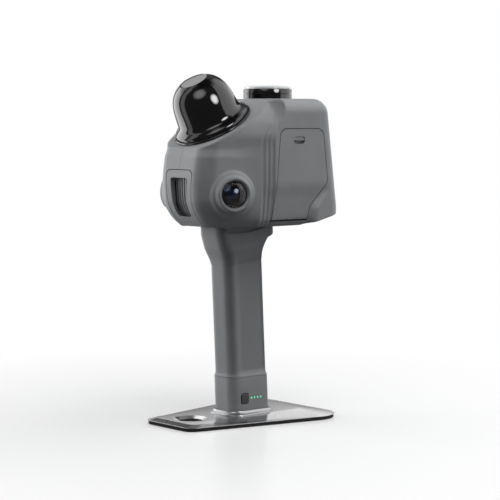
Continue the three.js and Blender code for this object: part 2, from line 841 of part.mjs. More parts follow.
// Shallow flutes between the waist and the rear block.
function flutes(from, to) {
  const count = fluteCount * fluteSteps;
  return Array.from({ length: count }, (_, n) => {
    const point = from.clone().lerp(to, (n + 1) / count);
    const turn = (Math.PI * (n + 1)) / fluteSteps;
    point.x -= fluteDepth * Math.abs(Math.sin(turn));
    return point;
  });
}

// Outline of the head at one row of the level table, drawn in by inset on every side.
function headRing(row, inset, fluted) {
  const [rise, front, face, corner, cornerBack, waist, waistBack, rear, rearStart, hip] = row;
  const z = headBottom + inset + rise * (headHeight - 2 * inset);
  const intoRound = THREE.MathUtils.clamp(topRound - (1 - rise) * headHeight, 0, topRound);
  const rounding = topRound - Math.sqrt(topRound ** 2 - intoRound ** 2);
  const tuck = Math.max(0, lowerEdge - rise * headHeight);
  const rearY = Math.min(rearReachAt(z), headRearReach) - inset - rounding;
  const rearX = rear * rearHalf - inset;
  const hipX = Math.max(rearX, rearHalf - rounding - tuck - inset);
  const round = Math.max(rearCorner - rounding - inset, seatGap);
  const hipY = Math.min(hip * headRearReach, rearY - round - hipRise - seatGap);
  const faceEnd = new THREE.Vector2(face * faceHalf - inset / 2, inset - front * headFrontReach);
  const cornerEnd = new THREE.Vector2(corner * cornerHalf - inset, inset / 2 - cornerBack * cornerReach);
  const waistEnd = new THREE.Vector2(waist * waistHalf - inset, -waistBack * waistReach);
  const rearEnd = new THREE.Vector2(rearX, -rearStart * rearStartReach);
  const half = [new THREE.Vector2(0, faceEnd.y), ...frontCorner(faceEnd, cornerEnd, waistEnd)];
  half.push(...(fluted ? flutes(waistEnd, rearEnd) : [rearEnd]));
  half.push(new THREE.Vector2(rearX, hipY), new THREE.Vector2(hipX, hipY + hipRise));
  for (let i = 0; i <= cornerSteps; i += 1) {
    const angle = (Math.PI / 2) * (i / cornerSteps);
    half.push(new THREE.Vector2(
      hipX - round + round * Math.cos(angle), rearY - round + round * Math.sin(angle),
    ));
  }
  half.push(new THREE.Vector2(0, rearY));
  const mirrored = half.slice(1, -1).reverse().map((point) => new THREE.Vector2(-point.x, point.y));
  return ring([...half, ...mirrored], z);
}

// All that lies over the platform, and all under the rising tail.
function platformCutter(drop) {
  const down = drop / Math.cos(THREE.MathUtils.degToRad(platformTilt));
  const edge = new THREE.Vector2(-platformReach, headBottom + platformHeight - down);
  const run = platformReach + platformEndReach + drop;
  const far = headHeight * 2;
  return solid(prismX([
    new THREE.Vector2(edge.x - far, edge.y - far * tiltSlope),
    new THREE.Vector2(edge.x + run, edge.y + run * tiltSlope),
    new THREE.Vector2(edge.x + run, edge.y + far * 2),
    new THREE.Vector2(edge.x - far, edge.y + far * 2),
  ], -rearHalf * 2, rearHalf * 2));
}

function tailCutter(lift) {
  const slope = tailRise / (headRearReach - tailStartReach);
  const far = headRearReach * 2;
  return solid(prismX([
    new THREE.Vector2(tailStartReach, headBottom + lift),
    new THREE.Vector2(tailStartReach, headBottom - far),
    new THREE.Vector2(tailStartReach + far, headBottom - far),
    new THREE.Vector2(tailStartReach + far, headBottom + lift + far * slope),
  ], -rearHalf * 2, rearHalf * 2));
}

function headBody(inset, fluted) {
  const levels = fluted ? headLevelShares : innerRows.map((n) => headLevelShares[n]);
  const body = solid(loft(levels.map((row) => headRing(row, inset, fluted))));
  return cut(body, platformCutter(inset), tailCutter(inset));
}

const headOuter = headBody(0, true);
const headInner = headBody(shellWall, false);

// Laser frame: turned about X, its origin in the middle of the trim ring.
const laser = new THREE.Group();
laser.rotation.x = THREE.MathUtils.degToRad(platformTilt);
const platformAtLaser = headBottom + platformHeight + (platformReach - laserReach) * tiltSlope;
laser.position.set(
  0,
  -laserReach - ringProud * Math.sin(laser.rotation.x),
  platformAtLaser + ringProud * Math.cos(laser.rotation.x),
);
laser.updateMatrix();

function inHead(geometry) {
  return solid(geometry.applyMatrix4(laser.matrix));
}

// Camera frames: their Z axis looks out of the head, their origin lies in the rim's plane.
function cameraMatrix(side) {
  const angle = THREE.MathUtils.degToRad(podAzimuth);
  const out = new THREE.Vector3(side * Math.sin(angle), -Math.cos(angle), 0);
  const up = new THREE.Vector3(0, 0, 1);
  const across = up.clone().cross(out);
  const matrix = new THREE.Matrix4().makeBasis(across, up, out);
  return matrix.setPosition(side * podHalf, -podReach, headBottom + podHeight);
}

function podBoss() {
  const flare = podFootRadius - podRimRadius;
  const side = podShares.map(([out, down]) => [podRimRadius + out * flare, -down * podStand]);
  return turned([
    [0, side[0][1]], ...side, [podRimRadius, -podRimBevel], [podRimRadius - podRimBevel, 0], [0, 0],
  ]);
}

function podHole() {
  const top = glassRadius + seatGap;
  return turned([
    [0, -podStand * 3], [top, -podStand * 3], [top, -glassSink],
    [top + glassSink + cutOverrun, cutOverrun], [0, cutOverrun],
  ]);
}

function ventOutline(grow) {
  return roundedOutline([
    [ventFootHalf + grow, headBottom - cutOverrun, seatGap],
    [ventHalf + grow, headBottom + ventTop + grow, ventCorner],
    [-ventHalf - grow, headBottom + ventTop + grow, ventCorner],
    [-ventFootHalf - grow, headBottom - cutOverrun, seatGap],
  ]);
}

function doorOutline(grow) {
  const top = headBottom + doorTop + grow;
  return roundedOutline([
    [-doorFrontFootReach - grow, headBottom + doorFoot - grow, doorSmallCorner],
    [doorFootReach + grow, headBottom + doorFoot - grow, doorSmallCorner],
    [doorHipReach + grow, headBottom + doorHipHeight - grow / 2, doorSmallCorner],
    [doorRearMidReach + grow, headBottom + doorRearMidHeight - grow / 2, doorSmallCorner],
    [doorRearTopReach + grow, top, doorCorner],
    [doorFrontTopReach - grow, top, doorCorner],
  ]);
}

// The door turns about this line, in the middle of its wall at the foot.
const hingeHeight = headBottom + doorFoot + doorGap + slideGap + barrelRadius;
const hingeX = rearHalfAt(hingeHeight) - shellWall * hingeShare;
const hingeFront = -doorFrontFootReach + doorGap + seatGap;
const hingeRear = doorFootReach - doorGap - seatGap;

function alongHinge(radius, from, to) {
  return solid(alongY(disc(radius, from, to)).translate(hingeX, 0, hingeHeight));
}

function headShells() {
  const wall = cut(headOuter, headInner);
  const laserHole = inHead(disc(windowFoot + laserHoleGap, -baseDepth, cutOverrun * 2, turnSteps));
  const bosses = [-1, 1].map((side) => solid(podBoss().applyMatrix4(cameraMatrix(side))));
  const boss = join(bosses[0], bosses[1]);
  const keep = cut(boss, headInner);
  const podHoles = [-1, 1].map((side) => solid(podHole().applyMatrix4(cameraMatrix(side))));
  const vent = solid(prismY(ventOutline(ventGroove / 2), -headFrontReach * 2, -headFrontReach / 2));
  const neck = box(
    -neckHoleHalf, neckHoleHalf, -neckHoleFront, neckHoleRear,
    headBottom - cutOverrun, headBottom + cutOverrun,
  );
  const screwSeat = headBottom + shellScrewHead / 2;
  const screws = screwPlaces().map(([x, y]) => join(
    solid(disc(shellScrewRadius + seatGap, headBottom - cutOverrun, headBottom + cutOverrun)),
    solid(disc(shellScrewHeadRadius + seatGap, headBottom - cutOverrun, screwSeat)),
  ).translate([x, y, 0]));
  const slotFront = headRearTopReach - topRound;
  const slots = Array.from({ length: exhaustSlots }, (_, n) => {
    const foot = headBottom + exhaustStart + n * exhaustPitch;
    return solid(box(-exhaustHalf, exhaustHalf, slotFront, headRearReach * 2, foot, foot + exhaustSlot));
  });
  const studHole = disc(studRadius + seatGap, headTop - shellWall - cutOverrun, headTop + cutOverrun);
  return cut(
    join(wall, keep), laserHole, ...podHoles, vent, solid(neck), ...screws, ...slots,
    solid(studHole.translate(0, puckSetback, 0)),
  );
}

function screwPlaces() {
  return [
    [-shellScrewHalf, -shellScrewFront], [shellScrewHalf, -shellScrewFront],
    [shellScrewHalf, shellScrewRear], [-shellScrewHalf, shellScrewRear],
  ];
}

function halfSpace(side) {
  const far = headHeight * 2;
  const edges = side < 0 ? [-far, -seam / 2] : [seam / 2, far];
  return solid(box(...edges, -far, far, headBottom - far, headTop + far));
}

function doorOpening() {
  const hold = doorGap + seatGap * 2 + pinHold;
  return join(
    solid(prismX(doorOutline(0), waistHalf / 2, rearHalf * 2)),
    alongHinge(pinRadius + seatGap, hingeFront - hold, hingeRear + hold),
  );
}

function sideDoor() {
  const wall = cut(headOuter, headInner);
  const cover = wall.intersect(solid(prismX(doorOutline(-doorGap), waistHalf / 2, rearHalf * 2)));
  const foot = box(
    hingeX - shellWall * 2, hingeX + shellWall * 2, -rearHalf, rearHalf,
    headBottom, hingeHeight + barrelRadius / 2,
  );
  const barrel = alongHinge(barrelRadius, hingeFront, hingeRear);
  const bore = alongHinge(pinRadius + slideGap, hingeFront - cutOverrun, hingeRear + cutOverrun);
  const slot = solid(prismX(slotOutline(0), waistHalf / 2, rearHalf * 2));
  return cut(join(cut(cover, solid(foot)), barrel), bore, slot);
}

function slotOutline(grow) {
  const middle = headBottom + slotHeight;
  const round = slotHalfHeight * slotRoundShare;
  return roundedOutline([
    [slotReach - slotHalfLength - grow, middle - slotHalfHeight - grow, round],
    [slotReach + slotHalfLength + grow, middle - slotHalfHeight - grow, round],
    [slotReach + slotHalfLength + grow, middle + slotHalfHeight + grow, round],
    [slotReach - slotHalfLength - grow, middle + slotHalfHeight + grow, round],
  ]);
}

function doorPin() {
  return alongHinge(pinRadius, hingeFront - doorGap - pinHold, hingeRear + doorGap + pinHold);
}

function doorLatch() {
  const inner = rearHalf - shellWall - seatGap;
  const middle = headBottom + slotHeight;
  const padTop = middle + slotHalfHeight - slideGap;
  const padFoot = padTop - latchPadHeight;
  const padHalf = slotHalfLength - slideGap;
  const footRound = slideGap * 2;
  const topRounding = slotHalfHeight * slotRoundShare - slideGap;
  const pad = prismX(roundedOutline([
    [slotReach - padHalf, padFoot, footRound], [slotReach + padHalf, padFoot, footRound],
    [slotReach + padHalf, padTop, topRounding], [slotReach - padHalf, padTop, topRounding],
  ]), inner - latchPlate, rearHalf - latchPadSink);
  const plate = box(
    inner - latchPlate, inner, slotReach - latchHalf, slotReach + latchHalf,
    middle - latchBelow, middle + latchBelow,
  );
  const tongue = box(
    inner - latchPlate, inner, slotReach - tongueHalf, slotReach + tongueHalf,
    middle, headBottom + bayTop - slideGap,
  );
  return join(solid(pad), solid(plate), solid(tongue));
}

// Bay lining behind the door, with an open box for the drive and the port
const bayBack = webHalf + webThickness / 2 + seatGap;

function storageBay() {
  const lining = cut(
    headBody(shellWall + seatGap, false),
    headBody(shellWall + seatGap + bayLip, false),
    solid(box(-rearHalf, rearHalf * 2, -headRearReach, headRearReach, headBottom, floorTop + seatGap)),
  ).intersect(solid(prismX(doorOutline(bayMargin), waistHalf / 2, rearHalf * 2)));
  const mouth = rearHalf - shellWall - seatGap - bayLip;
  const foot = headBottom + bayFoot;
  const top = headBottom + bayTop;
  const shelf = solid(box(
    bayBack, mouth + bayLip / 2, bayFront - bayWall, bayRear + bayWall, foot - bayWall, top + bayWall,
  ));
  const room = solid(box(bayBack + bayWall, rearHalf * 2, bayFront, bayRear, foot, top));
  const tray = shelf.intersect(headBody(shellWall + seatGap, false));
  const relief = alongHinge(barrelRadius + slideGap * 2, hingeFront - doorGap, hingeRear + doorGap);
  return cut(join(lining, tray), room, relief);
}

function storageDrive() {
  const back = bayBack + bayWall + seatGap;
  const foot = headBottom + bayFoot + seatGap;
  return prismX(roundedOutline([
    [driveSetback - driveHalfWidth, foot, cellRound], [driveSetback + driveHalfWidth, foot, cellRound],
    [driveSetback + driveHalfWidth, foot + driveHeight, cellRound],
    [driveSetback - driveHalfWidth, foot + driveHeight, cellRound],
  ], smallCornerSteps), back, back + driveThickness);
}

function dataPort() {
  const back = bayBack + bayWall + seatGap;
  const height = headBottom + portHeight;
  const outline = (inset) => roundedOutline([
    [portSetback - portHalfWidth + inset, height - portHalfHeight + inset, portHalfHeight - portWall],
    [portSetback + portHalfWidth - inset, height - portHalfHeight + inset, portHalfHeight - portWall],
    [portSetback + portHalfWidth - inset, height + portHalfHeight - inset, portHalfHeight - portWall],
    [portSetback - portHalfWidth + inset, height + portHalfHeight - inset, portHalfHeight - portWall],
  ], smallCornerSteps);
  return cut(
    solid(prismX(outline(0), back, back + portDepth)),
    solid(prismX(outline(portWall), back + portWall * 2, back + portDepth + cutOverrun)),
  );
}

// Front vent and heat sink

function ventInsert() {
  const wall = cut(headOuter, headInner);
  const front = -headFrontReach * 2;
  const plate = wall.intersect(solid(prismY(ventOutline(-ventGroove / 2), front, -headFrontReach / 2)));
  const mouth = prismY(roundedOutline([
    [mouthFootHalf, headBottom + mouthFoot, mouthCorner], [mouthHalf, headBottom + mouthTop, mouthCorner],
    [-mouthHalf, headBottom + mouthTop, mouthCorner], [-mouthFootHalf, headBottom + mouthFoot, mouthCorner],
  ]), front, -headFrontReach / 2);
  const footEdge = box(
    -ventHalf * 2, ventHalf * 2, -headFrontReach * ventFootShare, 0,
    headBottom - cutOverrun, headBottom + ventTop / 2,
  );
  return cut(plate, solid(mouth), solid(footEdge));
}

function heatSink() {
  const foot = floorTop + seatGap;
  const top = headBottom + finTop;
  const profile = finShares.map(([rise, reach]) => new THREE.Vector2(
    -reach * finFrontReach, foot + rise * (top - foot),
  ));
  const rootY = sinkThickness / 2 - sinkReach;
  const outline = [new THREE.Vector2(rootY, foot), ...profile, new THREE.Vector2(rootY, top)];
  const half = ((finCount - 1) * finPitch) / 2;
  const baseHalf = half + finPitch;
  const base = solid(box(-baseHalf, baseHalf, -sinkReach, sinkThickness - sinkReach, foot, top));
  const fins = Array.from({ length: finCount }, (_, n) => {
    const middle = n * finPitch - half;
    return solid(prismX(outline, middle - finThickness / 2, middle + finThickness / 2));
  });
  return join(base, ...fins);
}

// Fan, in a group whose Z axis is the shaft; air leaves to the rear.

const fan = new THREE.Group();
fan.rotation.x = -Math.PI / 2;
fan.position.set(0, -sinkReach + sinkThickness + seatGap, floorTop + seatGap + fanSize / 2);

function fanFrame() {
  const half = fanSize / 2;
  const body = prismZ(roundedOutline([
    [half, -half, fanCorner], [half, half, fanCorner], [-half, half, fanCorner], [-half, -half, fanCorner],
  ], smallCornerSteps), 0, fanThickness);
  const bore = disc(fanRadius, -cutOverrun, fanThickness + cutOverrun, turnSteps);
  const hub = disc(fanHubRadius, fanThickness - fanSpoke, fanThickness);
  const spokeEnd = fanRadius + fanSpoke;
  const spokes = [0, 1].map((n) => solid(
    box(-spokeEnd, spokeEnd, -fanSpoke / 2, fanSpoke / 2, fanThickness - fanSpoke, fanThickness)
      .rotateZ((Math.PI / 2) * n + Math.PI / 4),
  ));
  const ringBody = join(cut(solid(body), solid(bore)), solid(hub), ...spokes);
  return cut(ringBody, solid(disc(fanShaftRadius + slideGap, -cutOverrun, fanThickness + cutOverrun)));
}

function fanRotor() {
  const top = fanThickness - fanSpoke - slideGap;
  const hub = solid(disc(fanHubRadius - slideGap, slideGap, top));
  const shaft = solid(disc(fanShaftRadius, top / 2, fanThickness - slideGap));
  const reach = fanRadius - bladeTipGap;
  const from = fanHubRadius / 2;
  const blades = Array.from({ length: bladeCount }, (_, n) => solid(
    centredBox(reach - from, bladeWidth, bladeThickness)
      .rotateX(THREE.MathUtils.degToRad(bladeTilt))
      .translate((reach + from) / 2, 0, top / 2)
      .rotateZ((2 * Math.PI * n) / bladeCount),
  ));
  return join(hub, shaft, ...blades);
}

// Core frame: floor with neck boss, two webs and the tilted shelf under the laser unit

const shelfTop = -baseDepth - seatGap;

function coreFrame() {
  const noseFront = -frameFrontReach - frameNose;
  const floor = join(
    solid(box(-frameHalf, frameHalf, -frameFrontReach, frameRearReach, floorBottom, floorTop)),
    solid(box(-frameNoseHalf, frameNoseHalf, noseFront, -frameFrontReach / 2, floorBottom, floorTop)),
    solid(box(
      seatGap * 2 - neckHoleHalf, neckHoleHalf - seatGap * 2,
      seatGap * 2 - neckHoleFront, neckHoleRear - seatGap * 2, headBottom, floorTop,
    )),
  );
  const shelfFoot = shelfTop - frameThickness;
  const shelf = inHead(box(-shelfHalf, shelfHalf, -shelfFront, shelfRear, shelfFoot, shelfTop));
  const corner = (y, z) => {
    const point = new THREE.Vector3(0, y, z).applyMatrix4(laser.matrix);
    return new THREE.Vector2(point.y, point.z);
  };
  const shelfMiddle = shelfTop - frameThickness / 2;
  const webs = [-webHalf, webHalf].map((x) => solid(prismX([
    new THREE.Vector2(-frameFrontReach + frameThickness, floorTop - frameThickness / 2),
    new THREE.Vector2(webFootRear, floorTop - frameThickness / 2),
    corner(shelfRear - frameThickness, shelfMiddle),
    corner(frameThickness - shelfFront, shelfMiddle),
  ], x - webThickness / 2, x + webThickness / 2)));
  const posts = standoffPlaces().map(([x, y]) => solid(
    disc(standoffRadius, floorTop - frameThickness / 2, floorTop + standoff).translate(x, y, 0),
  ));
  const neckHoles = [-1, 1].map((side) => solid(
    disc(neckScrewRadius + seatGap, headBottom - cutOverrun, floorTop + cutOverrun)
      .translate(0, side * neckScrewReach / 2 + neckScrewMiddle, 0),
  ));
  const shellHoles = screwPlaces().map(([x, y]) => solid(
    disc(shellScrewRadius + seatGap, headBottom, floorTop + cutOverrun).translate(x, y, 0),
  ));
  const wires = disc(wireHoleRadius, headBottom - cutOverrun, floorTop + cutOverrun);
  const cable = inHead(disc(wireHoleRadius * 2, shelfTop - cutOverrun * 2, shelfTop + cutOverrun));
  return cut(
    join(floor, shelf, ...webs, ...posts), ...neckHoles, ...shellHoles,
    solid(wires.translate(wireHoleRadius * 2, neckScrewMiddle, 0)), cable,
  );
}

function shellScrew([x, y]) {
  const headFoot = headBottom - shellScrewHead / 2;
  const head = solid(disc(shellScrewHeadRadius, headFoot, headFoot + shellScrewHead - seatGap));
  const shank = solid(disc(shellScrewRadius, headBottom, floorTop - seatGap));
  return join(head, shank).translate([x, y, 0]);
}

function standoffPlaces() {
  const x = mainBoardHalf - standoffInset;
  return [
    [x, standoffInset - mainBoardFront], [x, mainBoardRear - standoffInset],
    [-x, mainBoardRear - standoffInset], [-x, standoffInset - mainBoardFront],
  ];
}

const boardFoot = floorTop + standoff + seatGap;
const boardTop = boardFoot + boardThickness;

function mainBoard() {
  return box(-mainBoardHalf, mainBoardHalf, -mainBoardFront, mainBoardRear, boardFoot, boardTop);
}

function processorCover() {
  return box(
    -processorHalf, processorHalf, -processorReach - processorHalf, processorHalf - processorReach,
    boardTop + seatGap, boardTop + seatGap + processorHeight,
  );
}

function motionSensor() {
  return box(
    -sensorHalf, sensorHalf, sensorSetback - sensorHalf, sensorSetback + sensorHalf,
    boardTop + seatGap, boardTop + seatGap + sensorHeight,
  );
}

// Laser unit

function laserBase() {
  const flangeTop = -seatGap;
  const body = turned([
    [0, -baseDepth], [baseRadius - seatGap, -baseDepth], [baseRadius, seatGap - baseDepth],
    [baseRadius, flangeTop - baseFlange], [windowFoot, flangeTop - baseFlange],
    [windowFoot, flangeTop - sealHeight],
    [sealInner, flangeTop - sealHeight], [sealInner, flangeTop], [0, flangeTop],
  ]);
  return cut(solid(body), solid(disc(shaftRadius + slideGap, -shaftDepth, cutOverrun)));
}

function laserSeal() {
  return tube(sealInner + seatGap, windowFoot, -seatGap - sealHeight + seatGap / 2, -seatGap / 2);
}

function laserTrimRing() {
  const foot = -ringProud + seatGap;
  const top = foot + ringHeight;
  return turned([
    [ringInner, foot], [ringOuter, foot], [ringOuter, top - seatGap * 2], [ringOuter - seatGap * 2, top],
    [ringInner, top], [ringInner, foot],
  ]);
}

function windowProfile(inset) {
  return windowProfileShares.map(([radius, height]) => [
    Math.max(radius * windowFoot - inset, 0), height * (windowHeight - inset),
  ]);
}

function laserWindow() {
  const sunk = windowHeight - capRecess;
  return turned([
    [0, sunk - windowWall],
    ...windowProfile(windowWall).filter((_, n) => n % 2 === 1).reverse(),
    [windowFoot - windowWall, 0],
    ...windowProfile(0),
    [windowCapRadius - capRecess, windowHeight],
    [windowCapRadius - capRecess * 2, sunk],
    [0, sunk],
  ]);
}

function laserMotor() {
  return tube(shaftRadius + slideGap, motorRadius, 0, motorHeight, smallTurnSteps);
}

function laserRotor() {
  const foot = motorHeight + slideGap;
  const top = foot + rotorHeight;
  const side = drumShares.map(([out, up]) => [rotorRadius * out, foot + rotorHeight * up]);
  const drum = turned([[0, foot], ...side, [0, top]]);
  const shaft = disc(shaftRadius, seatGap - shaftDepth, foot + mirrorThickness);
  const window = box(
    0, rotorRadius * 2, -mirrorHalf, mirrorHalf,
    foot + rotorHeight * drumFootShare, top - mirrorThickness * 2,
  );
  return cut(join(solid(drum), solid(shaft)), solid(window));
}

function laserMirror() {
  const foot = motorHeight + slideGap + rotorHeight * drumFootShare;
  const high = rotorHeight * (1 - drumFootShare) - mirrorThickness * 2;
  const plate = box(
    -mirrorThickness, 0, seatGap - mirrorHalf, mirrorHalf - seatGap, 0, high,
  ).rotateY(-THREE.MathUtils.degToRad(mirrorTilt));
  const room = box(
    seatGap, rotorRadius, -mirrorHalf, mirrorHalf, foot + seatGap, foot + high - seatGap,
  );
  return solid(plate.translate(high, 0, foot)).intersect(solid(room));
}

// Side cameras

function cameraWindow() {
  const foot = -glassSink - glassThickness;
  const arc = Array.from({ length: cornerSteps }, (_, n) => {
    const angle = (Math.PI / 2) * (n / cornerSteps);
    return [glassRadius * Math.cos(angle), -glassSink + glassRise * Math.sin(angle)];
  });
  return turned([[0, foot], [glassRadius, foot], ...arc, [0, glassRise - glassSink]]);
}

function cameraBarrel() {
  const top = -glassSink - glassThickness - seatGap;
  const foot = top - barrelLength;
  return turned([
    [0, foot], [barrelTip, foot], [barrelTip, foot + barrelLength / 2],
    [glassRadius, foot + barrelLength * barrelShoulderShare], [glassRadius, top], [0, top],
  ], smallTurnSteps);
}

function cameraBoard() {
  const top = -glassSink - glassThickness - barrelLength - seatGap * 2;
  const board = centredBox(cameraBoardHalf * 2, cameraBoardHalf * 2, boardThickness);
  return board.translate(0, 0, top - boardThickness / 2);
}

// Antenna puck

const puckFoot = headTop + seatGap;

function puckBase() {
  const top = puckFoot + puckRingHeight;
  return turned([
    [0, puckFoot], [puckRadius - seatGap, puckFoot], [puckRadius, puckFoot + seatGap],
    [puckRadius, top - seatGap], [puckRadius - seatGap, top], [puckRadius - puckWall, top],
    [puckRadius - puckWall, puckFoot + puckFloor], [0, puckFoot + puckFloor],
  ]);
}

function puckRing() {
  const foot = puckFoot + puckRingHeight + seatGap;
  const top = foot + puckRingHeight;
  return turned([
    [puckRadius - puckWall, foot], [puckRadius - seatGap, foot], [puckRadius, foot + seatGap],
    [puckRadius, top - seatGap], [puckRadius - seatGap, top], [puckRadius - puckWall, top],
    [puckRadius - puckWall, foot],
  ]);
}

function puckCover() {
  const foot = puckFoot + 2 * puckRingHeight + 2 * seatGap;
  const edge = puckRadius - puckEdgeRound;
  const crown = coverShares.map(([out, up]) => [edge * out, foot + puckCrown * up]);
  return turned([[0, foot], ...crown]);
}

function antennaPatch() {
  const foot = puckFoot + puckFloor + seatGap;
  return box(-patchHalf, patchHalf, -patchHalf, patchHalf, foot, foot + patchHeight);
}

function puckStud() {
  const inside = headTop - shellWall;
  const flange = disc(studRadius * 2, inside - studDepth / 2, inside - seatGap);
  const shank = disc(studRadius, inside - studDepth / 4, puckFoot - seatGap / 2);
  return join(solid(flange), solid(shank));
}

// Assembly

place(scanner, 'base_pad', basePad(), 'rubber');
place(scanner, 'base_plate', basePlate(), 'plate');
place(scanner, 'plate_screw', plateScrew(), 'alloy');
place(scanner, 'foot_collar', footCollar(), 'bright');
place(scanner, 'foot_block', footBlock(), 'grip');
place(scanner, 'foot_insert', footInsert(), 'brass');
place(scanner, 'power_button', powerButton(), 'dark');
place(scanner, 'button_switch', buttonSwitch(), 'dark');
place(scanner, 'button_board', buttonBoard(), 'board');
for (let n = 0; n < lightCount; n += 1) place(scanner, `charge_light_${n + 1}`, chargeLight(n), 'light');

place(scanner, 'grip_sleeve', gripSleeve(), 'grip');
place(scanner, 'neck_screw_front', neckScrew(-1), 'alloy');
place(scanner, 'neck_screw_rear', neckScrew(1), 'alloy');
place(scanner, 'battery_connector', batteryConnector(), 'dark');
place(battery, 'battery_board', batteryBoard(), 'board');
for (let n = 0; n < cellCount; n += 1) place(battery, `battery_cell_${n + 1}`, batteryCell(n), 'cell');

const shells = headShells();
place(scanner, 'head_shell_left', shells.intersect(halfSpace(-1)), 'shell');
place(scanner, 'head_shell_right', cut(shells.intersect(halfSpace(1)), doorOpening()), 'shell');
screwPlaces().forEach((spot, n) => place(scanner, `shell_screw_${n + 1}`, shellScrew(spot), 'alloy'));
place(scanner, 'vent_insert', ventInsert(), 'shell');
place(scanner, 'heat_sink', heatSink(), 'alloy');
place(fan, 'fan_frame', fanFrame(), 'dark');
place(fan, 'fan_rotor', fanRotor(), 'dark');
place(scanner, 'core_frame', coreFrame(), 'alloy');
place(scanner, 'main_board', mainBoard(), 'board');
place(scanner, 'processor_cover', processorCover(), 'alloy');
place(scanner, 'motion_sensor', motionSensor(), 'alloy');

place(laser, 'laser_base', laserBase(), 'dark');
place(laser, 'laser_seal', laserSeal(), 'rubber');
place(laser, 'laser_trim_ring', laserTrimRing(), 'bright');
place(laser, 'laser_window', laserWindow(), 'glass');
place(laser, 'laser_motor', laserMotor(), 'alloy');
place(laser, 'laser_rotor', laserRotor(), 'dark');
place(laser, 'laser_mirror', laserMirror(), 'bright');

[['left', -1], ['right', 1]].forEach(([word, side]) => {
  const camera = new THREE.Group();
  camera.applyMatrix4(cameraMatrix(side));
  place(camera, `camera_window_${word}`, cameraWindow(), 'glass');
  place(camera, `camera_barrel_${word}`, cameraBarrel(), 'dark');
  place(camera, `camera_board_${word}`, cameraBoard(), 'board');
  scanner.add(camera);
});

place(scanner, 'side_door', sideDoor(), 'shell');
place(scanner, 'door_pin', doorPin(), 'alloy');
place(scanner, 'door_latch', doorLatch(), 'shell');
place(scanner, 'storage_bay', storageBay(), 'dark');
place(scanner, 'storage_drive', storageDrive(), 'alloy');
place(scanner, 'data_port', dataPort(), 'alloy');

const puck = new THREE.Group();
puck.position.y = puckSetback;
place(puck, 'puck_base', puckBase(), 'dark');
place(puck, 'puck_ring', puckRing(), 'dark');
place(puck, 'puck_cover', puckCover(), 'white');
place(puck, 'antenna_patch', antennaPatch(), 'alloy');
place(puck, 'puck_stud', puckStud(), 'alloy');

scanner.add(battery, fan, laser, puck);

// The part's origin lies on the ground, in the middle of its length.
const part = new THREE.Group();
scanner.position.y = (plateFrontReach - headRearReach) / 2;
part.add(scanner);

export default part;
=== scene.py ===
import json
import math

import bmesh
import bpy
from mathutils import Matrix, Vector


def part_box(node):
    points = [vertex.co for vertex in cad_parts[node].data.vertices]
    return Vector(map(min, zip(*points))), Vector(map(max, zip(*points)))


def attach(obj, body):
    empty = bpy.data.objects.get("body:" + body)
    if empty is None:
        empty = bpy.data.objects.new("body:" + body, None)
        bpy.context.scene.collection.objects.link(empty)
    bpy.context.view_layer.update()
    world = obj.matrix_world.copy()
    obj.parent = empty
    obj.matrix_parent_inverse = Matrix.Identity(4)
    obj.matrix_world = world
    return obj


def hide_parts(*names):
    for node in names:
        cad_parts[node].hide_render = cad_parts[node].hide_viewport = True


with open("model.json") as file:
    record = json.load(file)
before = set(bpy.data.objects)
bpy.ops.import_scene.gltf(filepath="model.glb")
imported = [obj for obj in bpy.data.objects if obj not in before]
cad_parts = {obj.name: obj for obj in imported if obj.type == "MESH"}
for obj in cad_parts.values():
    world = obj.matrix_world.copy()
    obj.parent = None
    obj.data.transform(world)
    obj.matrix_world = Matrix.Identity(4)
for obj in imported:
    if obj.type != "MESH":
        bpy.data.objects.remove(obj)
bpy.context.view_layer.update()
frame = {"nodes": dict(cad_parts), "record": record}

# Handheld laser scanner on a foot plate. Sizes are millimetres, measured from the middle of the
# grip's foot, +Z up, the front faces -Y; finished meshes are metres in the frame.

mm = 0.001
# The plate comes first, because its front edge ties the millimetres to the frame.
plate = {"front": 81.0, "rear": 70.0, "frontHalf": 30.0, "rearHalf": 63.0, "frontCorner": 10.0,
         "rearCorner": 23.0, "edge": 0.8, "screwHole": 3.3}


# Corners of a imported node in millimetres.
def nodeBox(node):
    low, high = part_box(node)
    return low / mm, high / mm


shiftY = nodeBox("base_plate")[0].y + plate["front"]  # from the grip's foot to the frame's origin
padTop = nodeBox("base_plate")[0].z
plateTop = nodeBox("base_plate")[1].z
toFrame = Matrix.Scale(mm, 4) @ Matrix.Translation((0, shiftY, 0))
past = 4.0  # how far a cutter runs past the face that it opens
beyond = 200.0  # further out than any surface of the head


def rad(angle):
    return math.radians(angle)


# Mesh helpers

def addObject(name, data):
    piece = bpy.data.objects.new(name, data)
    bpy.context.scene.collection.objects.link(piece)
    return piece


# Smooth but for edges sharper than an angle.
def shade(piece, sharp):
    piece.data.shade_smooth()
    piece.data.set_sharp_from_angle(angle=rad(sharp))


# A bmesh in millimetres becomes an object at the origin, its place in its mesh.
def finishBm(bm, name, place=None):
    if place is not None:
        bm.transform(place)
    bm.transform(toFrame)
    mesh = bpy.data.meshes.new(name)
    bm.to_mesh(mesh)
    bm.free()
    return addObject(name, mesh)


def cutter(bm, place=None):
    return finishBm(bm, "cutter", place)


# Adds one bmesh to another.
def absorb(bm, part):
    mesh = bpy.data.meshes.new("part")
    part.to_mesh(mesh)
    part.free()
    bm.from_mesh(mesh)
    bpy.data.meshes.remove(mesh)


def applyModifiers(piece):
    graph = bpy.context.evaluated_depsgraph_get()
    mesh = bpy.data.meshes.new_from_object(piece.evaluated_get(graph))
    piece.modifiers.clear()
    old = piece.data
    piece.data = mesh
    mesh.name = piece.name
    bpy.data.meshes.remove(old)


